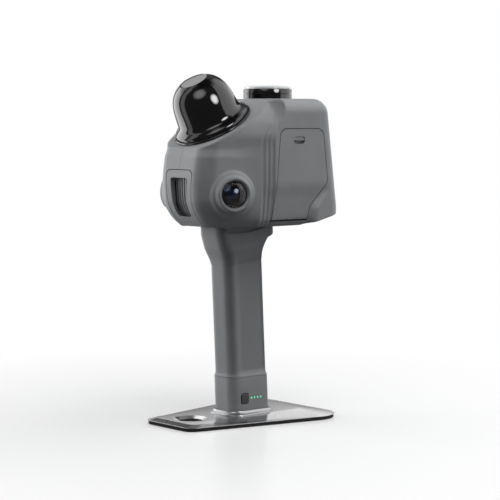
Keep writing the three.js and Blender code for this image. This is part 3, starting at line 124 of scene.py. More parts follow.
# Cuts, joins or crosses a piece with closed cutters, which are then removed.
def carve(piece, cutters, operation="DIFFERENCE"):
    for tool in cutters:
        modifier = piece.modifiers.new("carve", "BOOLEAN")
        modifier.operation = operation
        modifier.solver = "MANIFOLD"
        modifier.object = tool
    bpy.context.view_layer.update()
    applyModifiers(piece)
    for tool in cutters:
        bpy.data.objects.remove(tool)


def copyOf(piece, name):
    return addObject(name, piece.data.copy())


# Points of an arc that rounds a corner between two neighbours.
def fillet(corner, before, after, radius, steps):
    back = before - corner
    ahead = after - corner
    reach = 0.48 * min(back.length, ahead.length)
    back.normalize()
    ahead.normalize()
    half = math.acos(max(-1.0, min(1.0, back.dot(ahead)))) / 2
    if half > rad(89.5):
        return [corner.copy() for _ in range(steps + 1)]
    tangent = min(radius / math.tan(half), reach)
    radius = tangent * math.tan(half)
    centre = corner + (back + ahead).normalized() * (radius / math.sin(half))
    start = corner + back * tangent - centre
    turn = (math.pi - 2 * half) * (1 if back.cross(ahead) < 0 else -1)
    arc = []
    for n in range(steps + 1):
        arm = start.copy()
        arm.rotate(Matrix.Rotation(turn * n / steps, 2))
        arc.append(centre + arm)
    return arc


# Closed outline of [x, y, radius] corners with arcs.
def rounded(corners, steps=10):
    points = [Vector(corner[:2]) for corner in corners]
    outline = []
    for n, corner in enumerate(corners):
        outline += fillet(points[n], points[n - 1], points[(n + 1) % len(points)], corner[2], steps)
    return outline


# Rounded outline of a foot row and a head row, each [half width, height, radius], round a middle.
def quad(footRow, headRow, middle=0.0, steps=10):
    corners = [footRow, headRow, (-headRow[0], *headRow[1:]), (-footRow[0], *footRow[1:])]
    return rounded([(middle + reach, height, radius) for reach, height, radius in corners], steps)


def level(outline, z):
    return [Vector((point.x, point.y, z)) for point in outline]


def edgesOf(items):
    return [item for item in items if isinstance(item, bmesh.types.BMEdge)]


def vertsOf(items):
    return [item for item in items if isinstance(item, bmesh.types.BMVert)]


# Skins rings of equally many points by extruding the first ring upwards, with both ends closed.
def loft(rings):
    bm = bmesh.new()
    column = bm.verts.layers.int.new("column")
    verts = [bm.verts.new(point) for point in rings[0]]
    for n, vert in enumerate(verts):
        vert[column] = n
    edges = [bm.edges.new((verts[n - 1], verts[n])) for n in range(len(verts))]
    bm.faces.new(verts)
    for ring in rings[1:]:
        made = bmesh.ops.extrude_edge_only(bm, edges=edges)["geom"]
        edges = edgesOf(made)
        verts = vertsOf(made)
        for vert in verts:
            vert.co = ring[vert[column]]
    bm.faces.new(sorted(verts, key=lambda vert: vert[column]))
    bmesh.ops.recalc_face_normals(bm, faces=bm.faces)
    return bm


# Closed body turned about Z from [radius, height] pairs.
def turned(profile, steps=96):
    bm = bmesh.new()
    verts = [bm.verts.new((radius, 0, height)) for radius, height in profile]
    edges = [bm.edges.new(pair) for pair in zip(verts, verts[1:])]
    bmesh.ops.spin(bm, geom=verts + edges, cent=(0, 0, 0), axis=(0, 0, 1), angle=math.tau,
                   steps=steps, use_merge=True)
    bmesh.ops.remove_doubles(bm, verts=bm.verts, dist=0.0005)
    bmesh.ops.recalc_face_normals(bm, faces=bm.faces)
    return bm


# Catmull-Rom curve through [radius, height] points.
def smoothProfile(points, steps=6):
    curve = []
    last = len(points) - 1
    for n in range(last):
        p0, p1, p2, p3 = (Vector(points[max(0, min(last, n + k))]) for k in (-1, 0, 1, 2))
        for step in range(steps):
            t = step / steps
            spot = 0.5 * ((2 * p1) + (p2 - p0) * t + (2 * p0 - 5 * p1 + 4 * p2 - p3) * t ** 2
                          + (3 * p1 - p0 - 3 * p2 + p3) * t ** 3)
            curve.append(tuple(spot))
    curve.append(tuple(points[-1]))
    return curve


# Outline pushed along an axis; along X it holds (y, z), along Y (x, z).
def prism(outline, axis, start, end):
    at = "XYZ".index(axis)
    push = Vector()
    push[at] = end - start
    bm = bmesh.new()
    face = bm.faces.new([bm.verts.new((*point[:at], start, *point[at:])) for point in outline])
    made = bmesh.ops.extrude_face_region(bm, geom=[face])["geom"]
    bmesh.ops.translate(bm, vec=push, verts=vertsOf(made))
    bmesh.ops.recalc_face_normals(bm, faces=bm.faces)
    return bm


def softenEdges(bm, edges, width):
    bmesh.ops.bevel(bm, geom=edges, offset=width, segments=4, profile=0.5, affect="EDGES", material=-1)


# Box between two corners.
def block(low, high):
    bm = bmesh.new()
    bmesh.ops.create_cube(bm, size=1)
    bmesh.ops.scale(bm, vec=Vector(high) - Vector(low), verts=bm.verts)
    bmesh.ops.translate(bm, vec=(Vector(high) + Vector(low)) / 2, verts=bm.verts)
    return bm


# Upright round bar between two heights.
def drum(radius, start, end, steps=48):
    bm = bmesh.new()
    bmesh.ops.create_cone(bm, cap_ends=True, segments=steps, radius1=radius, radius2=radius,
                          depth=end - start)
    bmesh.ops.translate(bm, vec=(0, 0, (start + end) / 2), verts=bm.verts)
    return bm


# Turns +Z to +X or +Y, then moves to a spot.
def along(axis, spot):
    turn = {"X": Matrix.Rotation(rad(90), 4, "Y"), "Y": Matrix.Rotation(rad(-90), 4, "X")}[axis]
    return Matrix.Translation(spot) @ turn


# Curve through table rows that never swings past them.
def cubic(xs, ys, x):
    n = max(0, min(len(xs) - 2, sum(1 for known in xs if known <= x) - 1))
    steps = [(ys[k + 1] - ys[k]) / (xs[k + 1] - xs[k]) for k in range(len(xs) - 1)]

    def slope(k):
        if k == 0 or k == len(xs) - 1:
            return steps[0 if k == 0 else -1]
        if steps[k - 1] * steps[k] <= 0:
            return 0.0
        return 2 * steps[k - 1] * steps[k] / (steps[k - 1] + steps[k])

    wide = xs[n + 1] - xs[n]
    t = (x - xs[n]) / wide
    return ((2 * t ** 3 - 3 * t ** 2 + 1) * ys[n] + (t ** 3 - 2 * t ** 2 + t) * wide * slope(n)
            + (3 * t ** 2 - 2 * t ** 3) * ys[n + 1] + (t ** 3 - t ** 2) * wide * slope(n + 1))


def cubicColumn(rows, column, x):
    return cubic([row[0] for row in rows], [row[column] for row in rows], x)


# Shades a piece, which then takes a finish, rides a body and stands for a node.
def dress(piece, node, slot, sharp, body="scanner", material=None):
    shade(piece, sharp)
    piece.data.materials.clear()
    piece.data.materials.append(material or finish[slot])
    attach(piece, body)
    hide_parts(node)


# A node's piece from one bmesh, opened by cutters.
def makePiece(bm, node, slot, sharp, place=None, cutters=(), body="scanner", material=None):
    piece = finishBm(bm, node + "_skin", place)
    if cutters:
        carve(piece, cutters)
    dress(piece, node, slot, sharp, body, material)


# Materials

def newMaterial(name):
    material = bpy.data.materials.new(name)
    material.use_nodes = True
    tree = material.node_tree
    return material, tree, tree.nodes["Principled BSDF"]


# Fills sockets, by name or number, with constants or from other nodes.
def feed(node, values):
    for socket, value in values.items():
        if isinstance(value, bpy.types.NodeSocket):
            node.id_data.links.new(value, node.inputs[socket])
        else:
            node.inputs[socket].default_value = value


def newNode(tree, kind, values=None):
    node = tree.nodes.new("ShaderNode" + kind)
    feed(node, values or {})
    return node


def objectCoords(tree):
    return newNode(tree, "TexCoord").outputs["Object"]


def noise(tree, coords, scale, detail=2.0, roughness=0.5):
    return newNode(tree, "TexNoise", {"Vector": coords, "Scale": scale, "Detail": detail,
                                      "Roughness": roughness}).outputs["Fac"]


# Maps a pattern to a range.
def spread(tree, source, low, high, fromLow=0.3, fromHigh=0.7):
    return newNode(tree, "MapRange", {"Value": source, "From Min": fromLow, "From Max": fromHigh,
                                      "To Min": low, "To Max": high}).outputs["Result"]


# Colour between two by a pattern.
def tint(tree, factor, first, second):
    node = newNode(tree, "Mix")
    node.data_type = "RGBA"
    feed(node, {0: factor, 6: first, 7: second})
    return node.outputs[2]


def scaled(color, share):
    return (*[min(1, part * share) for part in color], 1)


# Base colour that clouds softly between two shares of itself.
def clouded(tree, coords, color, scale, detail, low, high):
    cloud = spread(tree, noise(tree, coords, scale, detail), 0, 1)
    return tint(tree, cloud, scaled(color, low), scaled(color, high))


def bumped(tree, height, distance, strength):
    return newNode(tree, "Bump", {"Height": height, "Strength": strength,
                                  "Distance": distance}).outputs["Normal"]


# Moulded plastic: fine spark grain, slight cloudiness.
def plasticMaterial(name, color, rough=0.55, grain=3800, relief=0.00002, vary=0.05, specular=0.4):
    material, tree, shader = newMaterial(name)
    coords = objectCoords(tree)
    fine = noise(tree, coords, grain, 3, 0.6)
    feed(shader, {"Base Color": clouded(tree, coords, color, 45, 3, 1 - vary, 1 + vary),
                  "Roughness": spread(tree, fine, rough - 0.06, rough + 0.06),
                  "Normal": bumped(tree, fine, relief, 0.6), "Specular IOR Level": specular})
    return material


# Metal with fine machining marks, which a scale below 1 stretches along an axis.
def metalMaterial(name, color, rough=0.25, brushed=(1, 1, 1), grain=900, relief=0.000004):
    material, tree, shader = newMaterial(name)
    coords = objectCoords(tree)
    mapping = newNode(tree, "Mapping", {"Vector": coords, "Scale": brushed})
    marks = noise(tree, mapping.outputs["Vector"], grain, 3, 0.6)
    feed(shader, {"Base Color": clouded(tree, coords, color, 60, 2, 0.97, 1), "Metallic": 1.0,
                  "Roughness": spread(tree, marks, rough * 0.85, rough * 1.15),
                  "Normal": bumped(tree, marks, relief, 0.5)})
    return material


# Polished dark plastic with very faint smears.
def glossMaterial(name, color, rough=0.025, ior=1.62):
    material, tree, shader = newMaterial(name)
    smear = noise(tree, objectCoords(tree), 70, 4, 0.65)
    streak = spread(tree, smear, 0, 1)
    feed(shader, {"Base Color": tint(tree, streak, scaled(color, 1), scaled(color, 1.4)),
                  "Roughness": spread(tree, smear, rough, rough * 1.6), "IOR": ior})
    return material


def glowMaterial(name, color, strength):
    material, tree, shader = newMaterial(name)
    feed(shader, {"Base Color": clouded(tree, objectCoords(tree), color, 2500, 2, 1, 1.25),
                  "Emission Color": (*color, 1), "Emission Strength": strength, "Roughness": 0.3})
    return material


# Coated glass; film in nanometres.
def lensMaterial(name, tintColor=(0.9, 0.95, 1.0), film=250.0, haze=0.004, clear=1.0, ior=1.5):
    material, tree, shader = newMaterial(name)
    dust = noise(tree, objectCoords(tree), 900, 2)
    feed(shader, {"Base Color": (*tintColor, 1), "Roughness": spread(tree, dust, 0.0, haze),
                  "Transmission Weight": clear, "IOR": ior, "Thin Film Thickness": film,
                  "Thin Film IOR": 1.38})
    return material


finish = {
    "shell_grey": plasticMaterial("shellGrey", (0.212, 0.219, 0.226), 0.52),
    "grip_grey": plasticMaterial("gripGrey", (0.17, 0.176, 0.182), 0.54),
    "plate_metal": metalMaterial("plateMetal", (0.62, 0.62, 0.63), 0.17, (1, 0.1, 1), 1500, 0.000001),
    "bright_metal": metalMaterial("brightMetal", (0.4, 0.4, 0.41), 0.36, (1, 1, 8), 500, 0.000001),
    "pad_rubber": plasticMaterial("padRubber", (0.008, 0.008, 0.0085), 0.78, 2600, 0.00004),
    "dark_plastic": plasticMaterial("darkPlastic", (0.022, 0.023, 0.024), 0.5),
    "black_window": glossMaterial("blackWindow", (0.0035, 0.0035, 0.004)),
    "lens_glass": lensMaterial("lensGlass"),
    "white_plastic": plasticMaterial("whitePlastic", (0.62, 0.63, 0.64), 0.3, 3000, 0.00001, 0.01),
    "light_green": glowMaterial("lightGreen", (0.1, 0.58, 0.3), 1.0),
    "alloy": plasticMaterial("alloy", (0.25, 0.253, 0.258), 0.45, 2400, 0.000006, 0.04, 0.6),
    "brass": metalMaterial("brass", (0.6, 0.43, 0.18), 0.3),
    "circuit_board": plasticMaterial("circuitBoard", (0.012, 0.07, 0.03), 0.4, 1500, 0.00003, 0.2),
    "cell_wrap": plasticMaterial("cellWrap", (0.035, 0.1, 0.21), 0.35, 400, 0.00002),
    "mirror_face": metalMaterial("mirrorFace", (0.92, 0.92, 0.92), 0.02, relief=0.0),
}
for row in frame["record"]["subparts"]:
    node = frame["nodes"][row["node"]]
    node.data.materials.clear()
    node.data.materials.append(finish[row["material_slot"]])
print("materials ready")


# Camera and light

camera = {"azimuth": 49.0, "pitch": 4.31, "place": (1.13259, -0.96930, 0.25713), "focalPixels": 1750.0,
          "imagePixels": 500.0, "sensor": 36.0, "clip": 20.0}


# Direction of a compass bearing, 0 in front on -Y and 90 on the right, and a height in degrees.
def outward(bearing, height):
    turn, rise = rad(bearing), rad(height)
    return Vector((math.sin(turn) * math.cos(rise), -math.cos(turn) * math.cos(rise), math.sin(rise)))


# Place at a spot with +Z pointing back from what is looked at.
def facing(spot, back):
    return Matrix.Translation(spot) @ back.to_track_quat("Z", "Y").to_matrix().to_4x4()


def makeCamera():
    data = bpy.data.cameras.new("camera")
    data.sensor_width = camera["sensor"]
    data.lens = camera["sensor"] * camera["focalPixels"] / camera["imagePixels"]
    data.clip_end = camera["clip"]
    eye = addObject("camera", data)
    eye.matrix_world = facing(camera["place"], outward(camera["azimuth"], camera["pitch"]))
    bpy.context.scene.camera = eye


# Soft panels for matt surfaces, since polish has its own studio: bearing, rise, distance, size, power.
panels = {"leftPanel": (-54, 0, 1.6, (1.5, 1.6), 54), "rightPanel": (84, 70, 1.6, (1.0, 1.0), 17),
          "backPanel": (160, 34, 1.7, (1.4, 1.0), 20)}
panelAim = Vector((0, 0, 0.18))


def makePanels():
    for name, (bearing, rise, distance, size, power) in panels.items():
        data = bpy.data.lights.new(name, "AREA")
        data.shape = "RECTANGLE"
        data.size, data.size_y = size
        data.energy = power
        out = outward(bearing, rise)
        lamp = addObject(name, data)
        lamp.matrix_world = facing(panelAim + out * distance, out)
        lamp.visible_glossy = False


# What polish reflects: brightness by bearing, low down and high up, and the changes behind by rise.
studio = {
    "low": [(-180, 1.5), (-150, 1.5), (-138, 1.4), (-127, 0.8), (-108, 0.8), (-99, 0.1), (-95, 3.0),
            (-56, 3.0), (-52, 0.25), (-45, 0.25), (-42, 1.1), (-27, 1.1), (-23, 0.1), (112, 0.1),
            (116, 1.5), (180, 1.5)],
    "high": [(-180, 1.4), (-165, 1.2), (-150, 0.25), (-118, 0.25), (-115, 1.5), (-60, 1.5), (-52, 0.25),
             (-45, 0.25), (-42, 1.1), (-27, 1.1), (-23, 0.1), (112, 0.1), (116, 1.5), (180, 1.5)],
    "rearMask": [(-180, 0), (-164, 0), (-152, 1), (-118, 1), (-115, 0), (180, 0)],
    "rearRises": [(0, 0.32), (10.5, 0.36), (13, 1.1), (16, 1.3), (19, 0.06), (32, 0.06), (40, 1), (90, 1)],
    "spots": [(93, 18, 7, 15, 13.0), (32, 38, 10, 25, 2.3)],  # bearing, rise, core, edge, brightness
    "split": (24.0, 34.0), "ceiling": (58.0, 74.0), "ceilingLevel": 0.1,
    "peak": 4.0,  # brightest level that a ramp holds
    "ambient": 0.3, "ambientColor": (0.95, 0.98, 1.0, 1),
}


def stopRamp(tree, value, stops, start=-180, reach=360):
    ramp = newNode(tree, "ValToRGB", {"Fac": value})
    marks = ramp.color_ramp.elements
    while len(marks) < len(stops):
        marks.new(0.5)
    for mark, (angle, brightness) in zip(marks, stops):
        mark.position = (angle - start) / reach
        mark.color = (*[brightness / studio["peak"]] * 3, 1)
    return ramp.outputs["Color"]


def mathNode(tree, operation, *values):
    node = newNode(tree, "Math", dict(enumerate(values)))
    node.operation = operation
    return node.outputs["Value"]


def vectorNode(tree, operation, *values):
    node = newNode(tree, "VectorMath")
    node.operation = operation
    feed(node, dict(zip((0, "Scale" if operation == "SCALE" else 1), values)))
    return node.outputs["Value" if operation in ("DOT_PRODUCT", "LENGTH") else "Vector"]


def mixShader(tree, factor, first, second):
    return newNode(tree, "MixShader", {0: factor, 1: first.outputs[0], 2: second.outputs[0]})


# Brightness of the studio in a direction.
def studioLevel(tree):
    direction = newNode(tree, "TexCoord").outputs["Generated"]
    x, y, z = newNode(tree, "SeparateXYZ", {0: direction}).outputs
    bearing = mathNode(tree, "ARCTAN2", x, mathNode(tree, "MULTIPLY", y, -1.0))
    bearing = spread(tree, bearing, 0, 1, -math.pi, math.pi)
    rise = mathNode(tree, "ARCSINE", z)
    high = spread(tree, rise, 0, 1, *map(rad, studio["split"]))
    ramps = [stopRamp(tree, bearing, studio[height]) for height in ("low", "high")]
    walls = tint(tree, high, *ramps)
    quarter = spread(tree, rise, 0, 1, 0, rad(90))
    bands = mathNode(tree, "MULTIPLY", stopRamp(tree, quarter, studio["rearRises"], 0, 90), studio["peak"])
    change = mathNode(tree, "SUBTRACT", bands, 1.0)
    mask = mathNode(tree, "MULTIPLY", stopRamp(tree, bearing, studio["rearMask"]), studio["peak"])
    rear = mathNode(tree, "ADD", mathNode(tree, "MULTIPLY", change, mask), 1.0)
    ceiling = spread(tree, rise, studio["peak"], studio["ceilingLevel"], *map(rad, studio["ceiling"]))
    total = vectorNode(tree, "SCALE", walls, mathNode(tree, "MULTIPLY", ceiling, rear))
    for angle, lift, core, edge, brightness in studio["spots"]:
        aim = vectorNode(tree, "DOT_PRODUCT", direction, outward(angle, lift))
        spot = spread(tree, aim, 0, brightness, math.cos(rad(edge)), math.cos(rad(core)))
        total = vectorNode(tree, "ADD", total, spot)
    return total


# White to the camera; polish sees the studio, and all else a low even glow.
def makeWorld():
    world = bpy.data.worlds.new("studio")
    bpy.context.scene.world = world
    world.use_nodes = True
    tree = world.node_tree
    tree.nodes.clear()
    polish = newNode(tree, "Background", {"Color": studioLevel(tree)})
    glow = newNode(tree, "Background", {"Color": studio["ambientColor"], "Strength": studio["ambient"]})
    white = newNode(tree, "Background", {"Color": (1, 1, 1, 1)})
    path = newNode(tree, "LightPath").outputs
    mirrored = mathNode(tree, "MAXIMUM", path["Is Glossy Ray"], path["Is Transmission Ray"])
    shown = mixShader(tree, path["Is Camera Ray"], mixShader(tree, mirrored, glow, polish), white)
    newNode(tree, "OutputWorld", {"Surface": shown.outputs[0]})


floorLook = {"size": 12.0, "albedo": 0.5, "rough": 0.28, "specular": 0.45, "lift": 0.26, "bounce": 0.1,
             "near": 0.14, "far": 0.46}


# White floor that keeps a soft shadow and a faint reflection, and melts into the white behind it.
def makeFloor():
    bm = bmesh.new()
    bmesh.ops.create_grid(bm, x_segments=1, y_segments=1, size=floorLook["size"])
    mesh = bpy.data.meshes.new("floor")
    bm.to_mesh(mesh)
    bm.free()
    floor = addObject("floor", mesh)
    material, tree, shader = newMaterial("floorPaint")
    feed(shader, {"Base Color": (*[floorLook["albedo"]] * 3, 1), "Roughness": floorLook["rough"],
                  "Specular IOR Level": floorLook["specular"]})
    lift = newNode(tree, "Emission", {"Strength": floorLook["lift"]})
    lit = newNode(tree, "AddShader", {0: shader.outputs[0], 1: lift.outputs[0]})
    distance = vectorNode(tree, "LENGTH", objectCoords(tree))
    away = spread(tree, distance, 0, 1, floorLook["near"], floorLook["far"])
    dark = newNode(tree, "BsdfDiffuse", {"Color": (*[floorLook["bounce"]] * 3, 1)})
    path = newNode(tree, "LightPath").outputs
    polished = mathNode(tree, "MULTIPLY", away, path["Is Glossy Ray"])
    seen = mathNode(tree, "MAXIMUM", path["Is Camera Ray"], path["Is Transmission Ray"])
    unseen = mixShader(tree, polished, dark, newNode(tree, "BsdfTransparent"))
    shown = mixShader(tree, away, lit, newNode(tree, "Emission"))
    surface = mixShader(tree, seen, unseen, shown)
    feed(tree.nodes["Material Output"], {"Surface": surface.outputs[0]})
    mesh.materials.append(material)


makeCamera()
makeWorld()
makeFloor()
makePanels()
print("camera and lights ready")


# Head

head = {"bottom": 166.5, "height": 107.0, "front": 67.5, "rear": 72.4, "rearTop": 62.2, "rearFoot": 15.5,
        "faceHalf": 22.0, "faceRound": 13.0, "cornerHalf": 32.5, "corner": 57.5, "cornerRound": 16.0,
        "waistHalf": 45.0, "waist": 15.5, "rearHalf": 49.7, "rearStart": 4.0, "rearCorner": 12.0,
        "topRound": 12.0, "lowerEdge": 2.2, "flutes": 3, "fluteSteps": 8, "fluteDepth": 0.7,
        "hipRise": 7.0, "wall": 2.4, "tailStart": 32.0, "tailRise": 9.6, "platform": 62.1,
        "platformHeight": 66.2, "tilt": 30.0, "voxel": 0.65, "seam": 0.3}
# Shares by height: height, front, face half, corner half, corner reach, waist half, waist reach,
# rear half, rear start, hip start.
headShares = [
    (0, 0.763, 0.77, 0.79, 0.756, 0.875, 1, 0.81, 1, 0.5),
    (0.023, 0.8, 0.81, 0.86, 0.8, 0.925, 1, 0.865, 1, 0.5),
    (0.065, 0.864, 0.86, 0.93, 0.88, 0.967, 1, 0.911, 1, 0.51),
    (0.135, 0.945, 0.93, 0.975, 0.95, 0.987, 1, 0.934, 1, 0.53),
    (0.22, 0.99, 0.985, 0.995, 0.99, 0.996, 1, 0.958, 1, 0.63),
    (0.355, 1, 1, 1, 1, 1, 1, 1, 1, 0.78),
    (0.547, 0.96, 1, 1, 0.97, 1, 1, 1, 1, 0.78),
    (0.619, 0.92, 0.99, 0.97, 0.94, 1, 1, 1, 1, 0.78),
    (0.69, 0.92, 0.99, 0.97, 0.94, 1.01, 1, 1, 1, 0.78),
    (0.79, 0.92, 0.99, 0.97, 0.94, 1.02, 0.6, 1, -0.2, 0.78),
    (0.888, 0.92, 0.9, 0.9, 0.94, 0.93, -0.1, 1, -1.5, 0.78),
    (0.944, 0.92, 0.7, 0.75, 0.94, 0.77, -0.25, 1, -2, 0.78),
    (0.985, 0.92, 0.55, 0.6, 0.94, 0.62, -0.3, 1, -2.1, 0.74),
    (1, 0.92, 0.5, 0.55, 0.94, 0.55, -0.3, 1, -2.2, 0.7),
]
creaseRow = 6  # the front keeps a crease at this row
headFoot = head["bottom"]
headTop = headFoot + head["height"]
tilt = rad(head["tilt"])
rearSlope = (head["rear"] - head["rearTop"]) / (head["height"] - head["topRound"] - head["rearFoot"])
frontSpan = (-2 * head["front"], -head["front"] / 2)  # cutters of the front face run along this


# A column of the table at a height, smooth but for the crease of the front.
def headShare(rise, column):
    rows = headShares
    if column <= 4:
        rows = headShares[:creaseRow + 1] if rise <= headShares[creaseRow][0] else headShares[creaseRow:]
    return cubicColumn(rows, column, rise)


def headRing(rise, inset, arcSteps, fluted):
    front, face, corner, cornerBack, waist, waistBack, rear, rearStart, hip = (
        headShare(rise, column) for column in range(1, 10))
    height = head["height"]
    z = headFoot + inset + rise * (height - 2 * inset)
    intoRound = max(0.0, min(head["topRound"], head["topRound"] - (1 - rise) * height))
    rounding = head["topRound"] - math.sqrt(head["topRound"] ** 2 - intoRound ** 2)
    tuck = max(0.0, head["lowerEdge"] - rise * height)
    rearReach = min(head["rear"] - (z - headFoot - head["rearFoot"]) * rearSlope, head["rear"])
    rearY = rearReach - inset - rounding
    rearX = rear * head["rearHalf"] - rounding - inset
    hipX = max(rearX, head["rearHalf"] - rounding - tuck - inset)
    arc = max(head["rearCorner"] - rounding - inset, 0.4)
    hipY = min(hip * head["rear"], rearY - arc - head["hipRise"] - 0.3)
    faceEnd = Vector((face * head["faceHalf"] - inset / 2, inset - front * head["front"]))
    cornerEnd = Vector((corner * head["cornerHalf"] - inset, inset / 2 - cornerBack * head["corner"]))
    waistEnd = Vector((waist * head["waistHalf"] - inset, -waistBack * head["waist"]))
    rearEnd = Vector((rearX, -rearStart * head["rearStart"]))
    start = Vector((0, faceEnd.y))
    half = [start]
    half += fillet(faceEnd, start, cornerEnd, head["faceRound"], arcSteps)
    half += fillet(cornerEnd, faceEnd, waistEnd, head["cornerRound"], arcSteps)
    half.append(cornerEnd.lerp(waistEnd, 0.5))
    half.append(waistEnd)
    count = head["flutes"] * head["fluteSteps"]
    for n in range(1, count + 1):
        point = waistEnd.lerp(rearEnd, n / count)
        if fluted:
            point.x -= head["fluteDepth"] * abs(math.sin(math.pi * n / head["fluteSteps"]))
        half.append(point)
    half += [Vector((rearX, hipY)), Vector((hipX, hipY + head["hipRise"]))]
    for n in range(arcSteps + 1):
        angle = rad(90) * n / arcSteps
        half.append(Vector((hipX - arc + arc * math.cos(angle), rearY - arc + arc * math.sin(angle))))
    half.append(Vector((0, rearY)))
    mirrored = [Vector((-point.x, point.y)) for point in reversed(half[1:-1])]
    return level(half + mirrored, z)


# Heights of the rings, closer together in the rounding of the top.
def headRises(count, roundSteps=10):
    roundStart = 1 - head["topRound"] / head["height"]
    rises = [roundStart * n / count for n in range(count)]
    return rises + [1 - (1 - roundStart) * (1 - math.sin(rad(90) * n / roundSteps))
                    for n in range(roundSteps + 1)]


# Cuts a closed bmesh by a plane and closes it again.
def capCut(bm, spot, normal):
    geometry = bm.verts[:] + bm.edges[:] + bm.faces[:]
    cut = bmesh.ops.bisect_plane(bm, geom=geometry, dist=0.0001, plane_co=spot, plane_no=normal,
                                 clear_outer=True)
    bmesh.ops.holes_fill(bm, edges=edgesOf(cut["geom_cut"]), sides=0)
    bmesh.ops.triangulate(bm, faces=bm.faces)
    bmesh.ops.recalc_face_normals(bm, faces=bm.faces)


# Solid head, smaller by an inset, with its tilted platform and its rising tail.
def headBody(inset, levels, arcSteps, fluted=False):
    bm = loft([headRing(rise, inset, arcSteps, fluted) for rise in headRises(levels)])
    drop = inset / math.cos(tilt)
    capCut(bm, (0, -head["platform"], headFoot + head["platformHeight"] - drop),
           (0, -math.sin(tilt), math.cos(tilt)))
    fall = math.atan(head["tailRise"] / (head["rear"] - head["tailStart"]))
    capCut(bm, (0, head["tailStart"], headFoot + inset), (0, math.sin(fall), -math.cos(fall)))
    return bm


# Side camera housing; the boss has [reach past the rim, height] rows.
pod = {"half": 44.0, "reach": 43.2, "height": 28.0, "azimuth": 70.0, "rim": 14.7, "root": -15.4,
       "glass": 10.9, "glassRise": 4.0, "glassSink": 1.4, "glassWall": 1.6, "bevel": 0.6,
       "boreGap": 0.3, "boreFoot": -21.0,
       "boss": [(7.0, -11), (5.0, -7.4), (3.8, -5.3), (2.8, -4.5), (1.9, -4.2), (1.1, -3.5), (0.5, -2.1),
                (0, -0.6)]}


# Frame of a side camera: Z looks out of the head, the origin lies in the rim's plane.
def podPlace(side):
    angle = rad(pod["azimuth"])
    out = Vector((side * math.sin(angle), -math.cos(angle), 0))
    up = Vector((0, 0, 1))
    turn = Matrix((up.cross(out), up, out)).transposed().to_4x4()
    return Matrix.Translation((side * pod["half"], -pod["reach"], headFoot + pod["height"])) @ turn


# Boss round a side camera: a shoulder, a shallow valley and a lip, added as a closed body.
def podBoss(bm, side):
    curve = smoothProfile([(pod["rim"] + reach, drop) for reach, drop in pod["boss"]], 5)
    profile = [(0, pod["root"]), (curve[0][0], pod["root"]), *curve, (pod["rim"] - pod["bevel"], 0), (0, 0)]
    boss = turned(profile)
    boss.transform(podPlace(side))
    absorb(bm, boss)


# Outer skin of the whole head: a voxel remesh melts the bosses into it.
def makeHeadSkin():
    bm = headBody(0, 90, 12, True)
    for side in (-1, 1):
        podBoss(bm, side)
    skin = finishBm(bm, "headSkin")
    remesh = skin.modifiers.new("remesh", "REMESH")
    remesh.mode = "VOXEL"
    remesh.voxel_size = head["voxel"] * mm
    smooth = skin.modifiers.new("smooth", "SMOOTH")
    smooth.factor = 0.5
    smooth.iterations = 5
    applyModifiers(skin)
    return skin


headSkin = makeHeadSkin()
print("head skin", len(headSkin.data.polygons))


# Hollow copy of the head skin.
def headWall(name):
    wall = copyOf(headSkin, name)
    carve(wall, [cutter(headBody(head["wall"], 30, 5))])
    return wall


laser = {"reach": 30.25, "ringProud": 1.1, "foot": 32.6, "holeGap": 0.5, "holeSpan": (-18.0, 8.0)}
platformAtLaser = (headFoot + head["platformHeight"]
                   + (head["platform"] - laser["reach"]) * math.tan(tilt))
laserPlace = (Matrix.Translation((0, -laser["reach"] - laser["ringProud"] * math.sin(tilt),
                                  platformAtLaser + laser["ringProud"] * math.cos(tilt)))
              @ Matrix.Rotation(tilt, 4, "X"))

# These parts come before the shells, which they open.
vent = {"half": 17.0, "footHalf": 14.0, "top": 48.0, "corner": 4.5, "groove": 0.6, "mouthHalf": 11.0,
        "mouthFootHalf": 8.6, "mouthTop": 41.5, "mouthFoot": 9.0, "mouthCorner": 2.4, "footShare": 0.77,
        "footHigh": 24.0, "footCorner": 0.3, "tubeWall": 1.1, "tubeInset": 1.0, "depth": 4.8}
door = {"top": 82.1, "foot": 4.3, "frontTop": 1.5, "frontFoot": 5.0, "rearTop": 50.5, "rearMid": 56.0,
        "rearMidHeight": 36.5, "hip": 37.5, "hipHeight": 15.5, "rearFoot": 36.0, "corner": 7.0,
        "hipCorner": 5.0, "smallCorner": 0.4, "gap": 0.6, "span": (22.0, 100.0), "lip": 0.85,
        "lipReach": 5.0, "lipInner": 0.6, "barrel": 1.4, "barrelEnd": 0.9, "pin": 0.5, "pinGap": 0.3}
slotHole = {"reach": 22.8, "height": 72.1, "halfLength": 6.3, "halfHeight": 3.15, "roundShare": 0.8}
exhaust = {"count": 5, "foot": 40.0, "pitch": 5.6, "height": 2.4, "half": 15.0, "corner": 1.1, "depth": 12.0}
neckHole = {"half": 14.0, "front": 27.0, "rear": 19.0}
screwHoles = {"half": 22.8, "front": 33.0, "rear": 26.0, "radius": 3.1, "depth": 0.8}
studHole = {"setback": 31.0, "radius": 4.3, "depth": 6.0}


def ventOutline(grow):
    foot = (vent["footHalf"] + grow, headFoot - past, vent["footCorner"])
    return quad(foot, (vent["half"] + grow, headFoot + vent["top"] + grow, vent["corner"]))


def mouthOutline(grow=0.0):
    low, high = headFoot + vent["mouthFoot"] - grow, headFoot + vent["mouthTop"] + grow
    corner = vent["mouthCorner"] + grow
    return quad((vent["mouthFootHalf"] + grow, low, corner), (vent["mouthHalf"] + grow, high, corner))


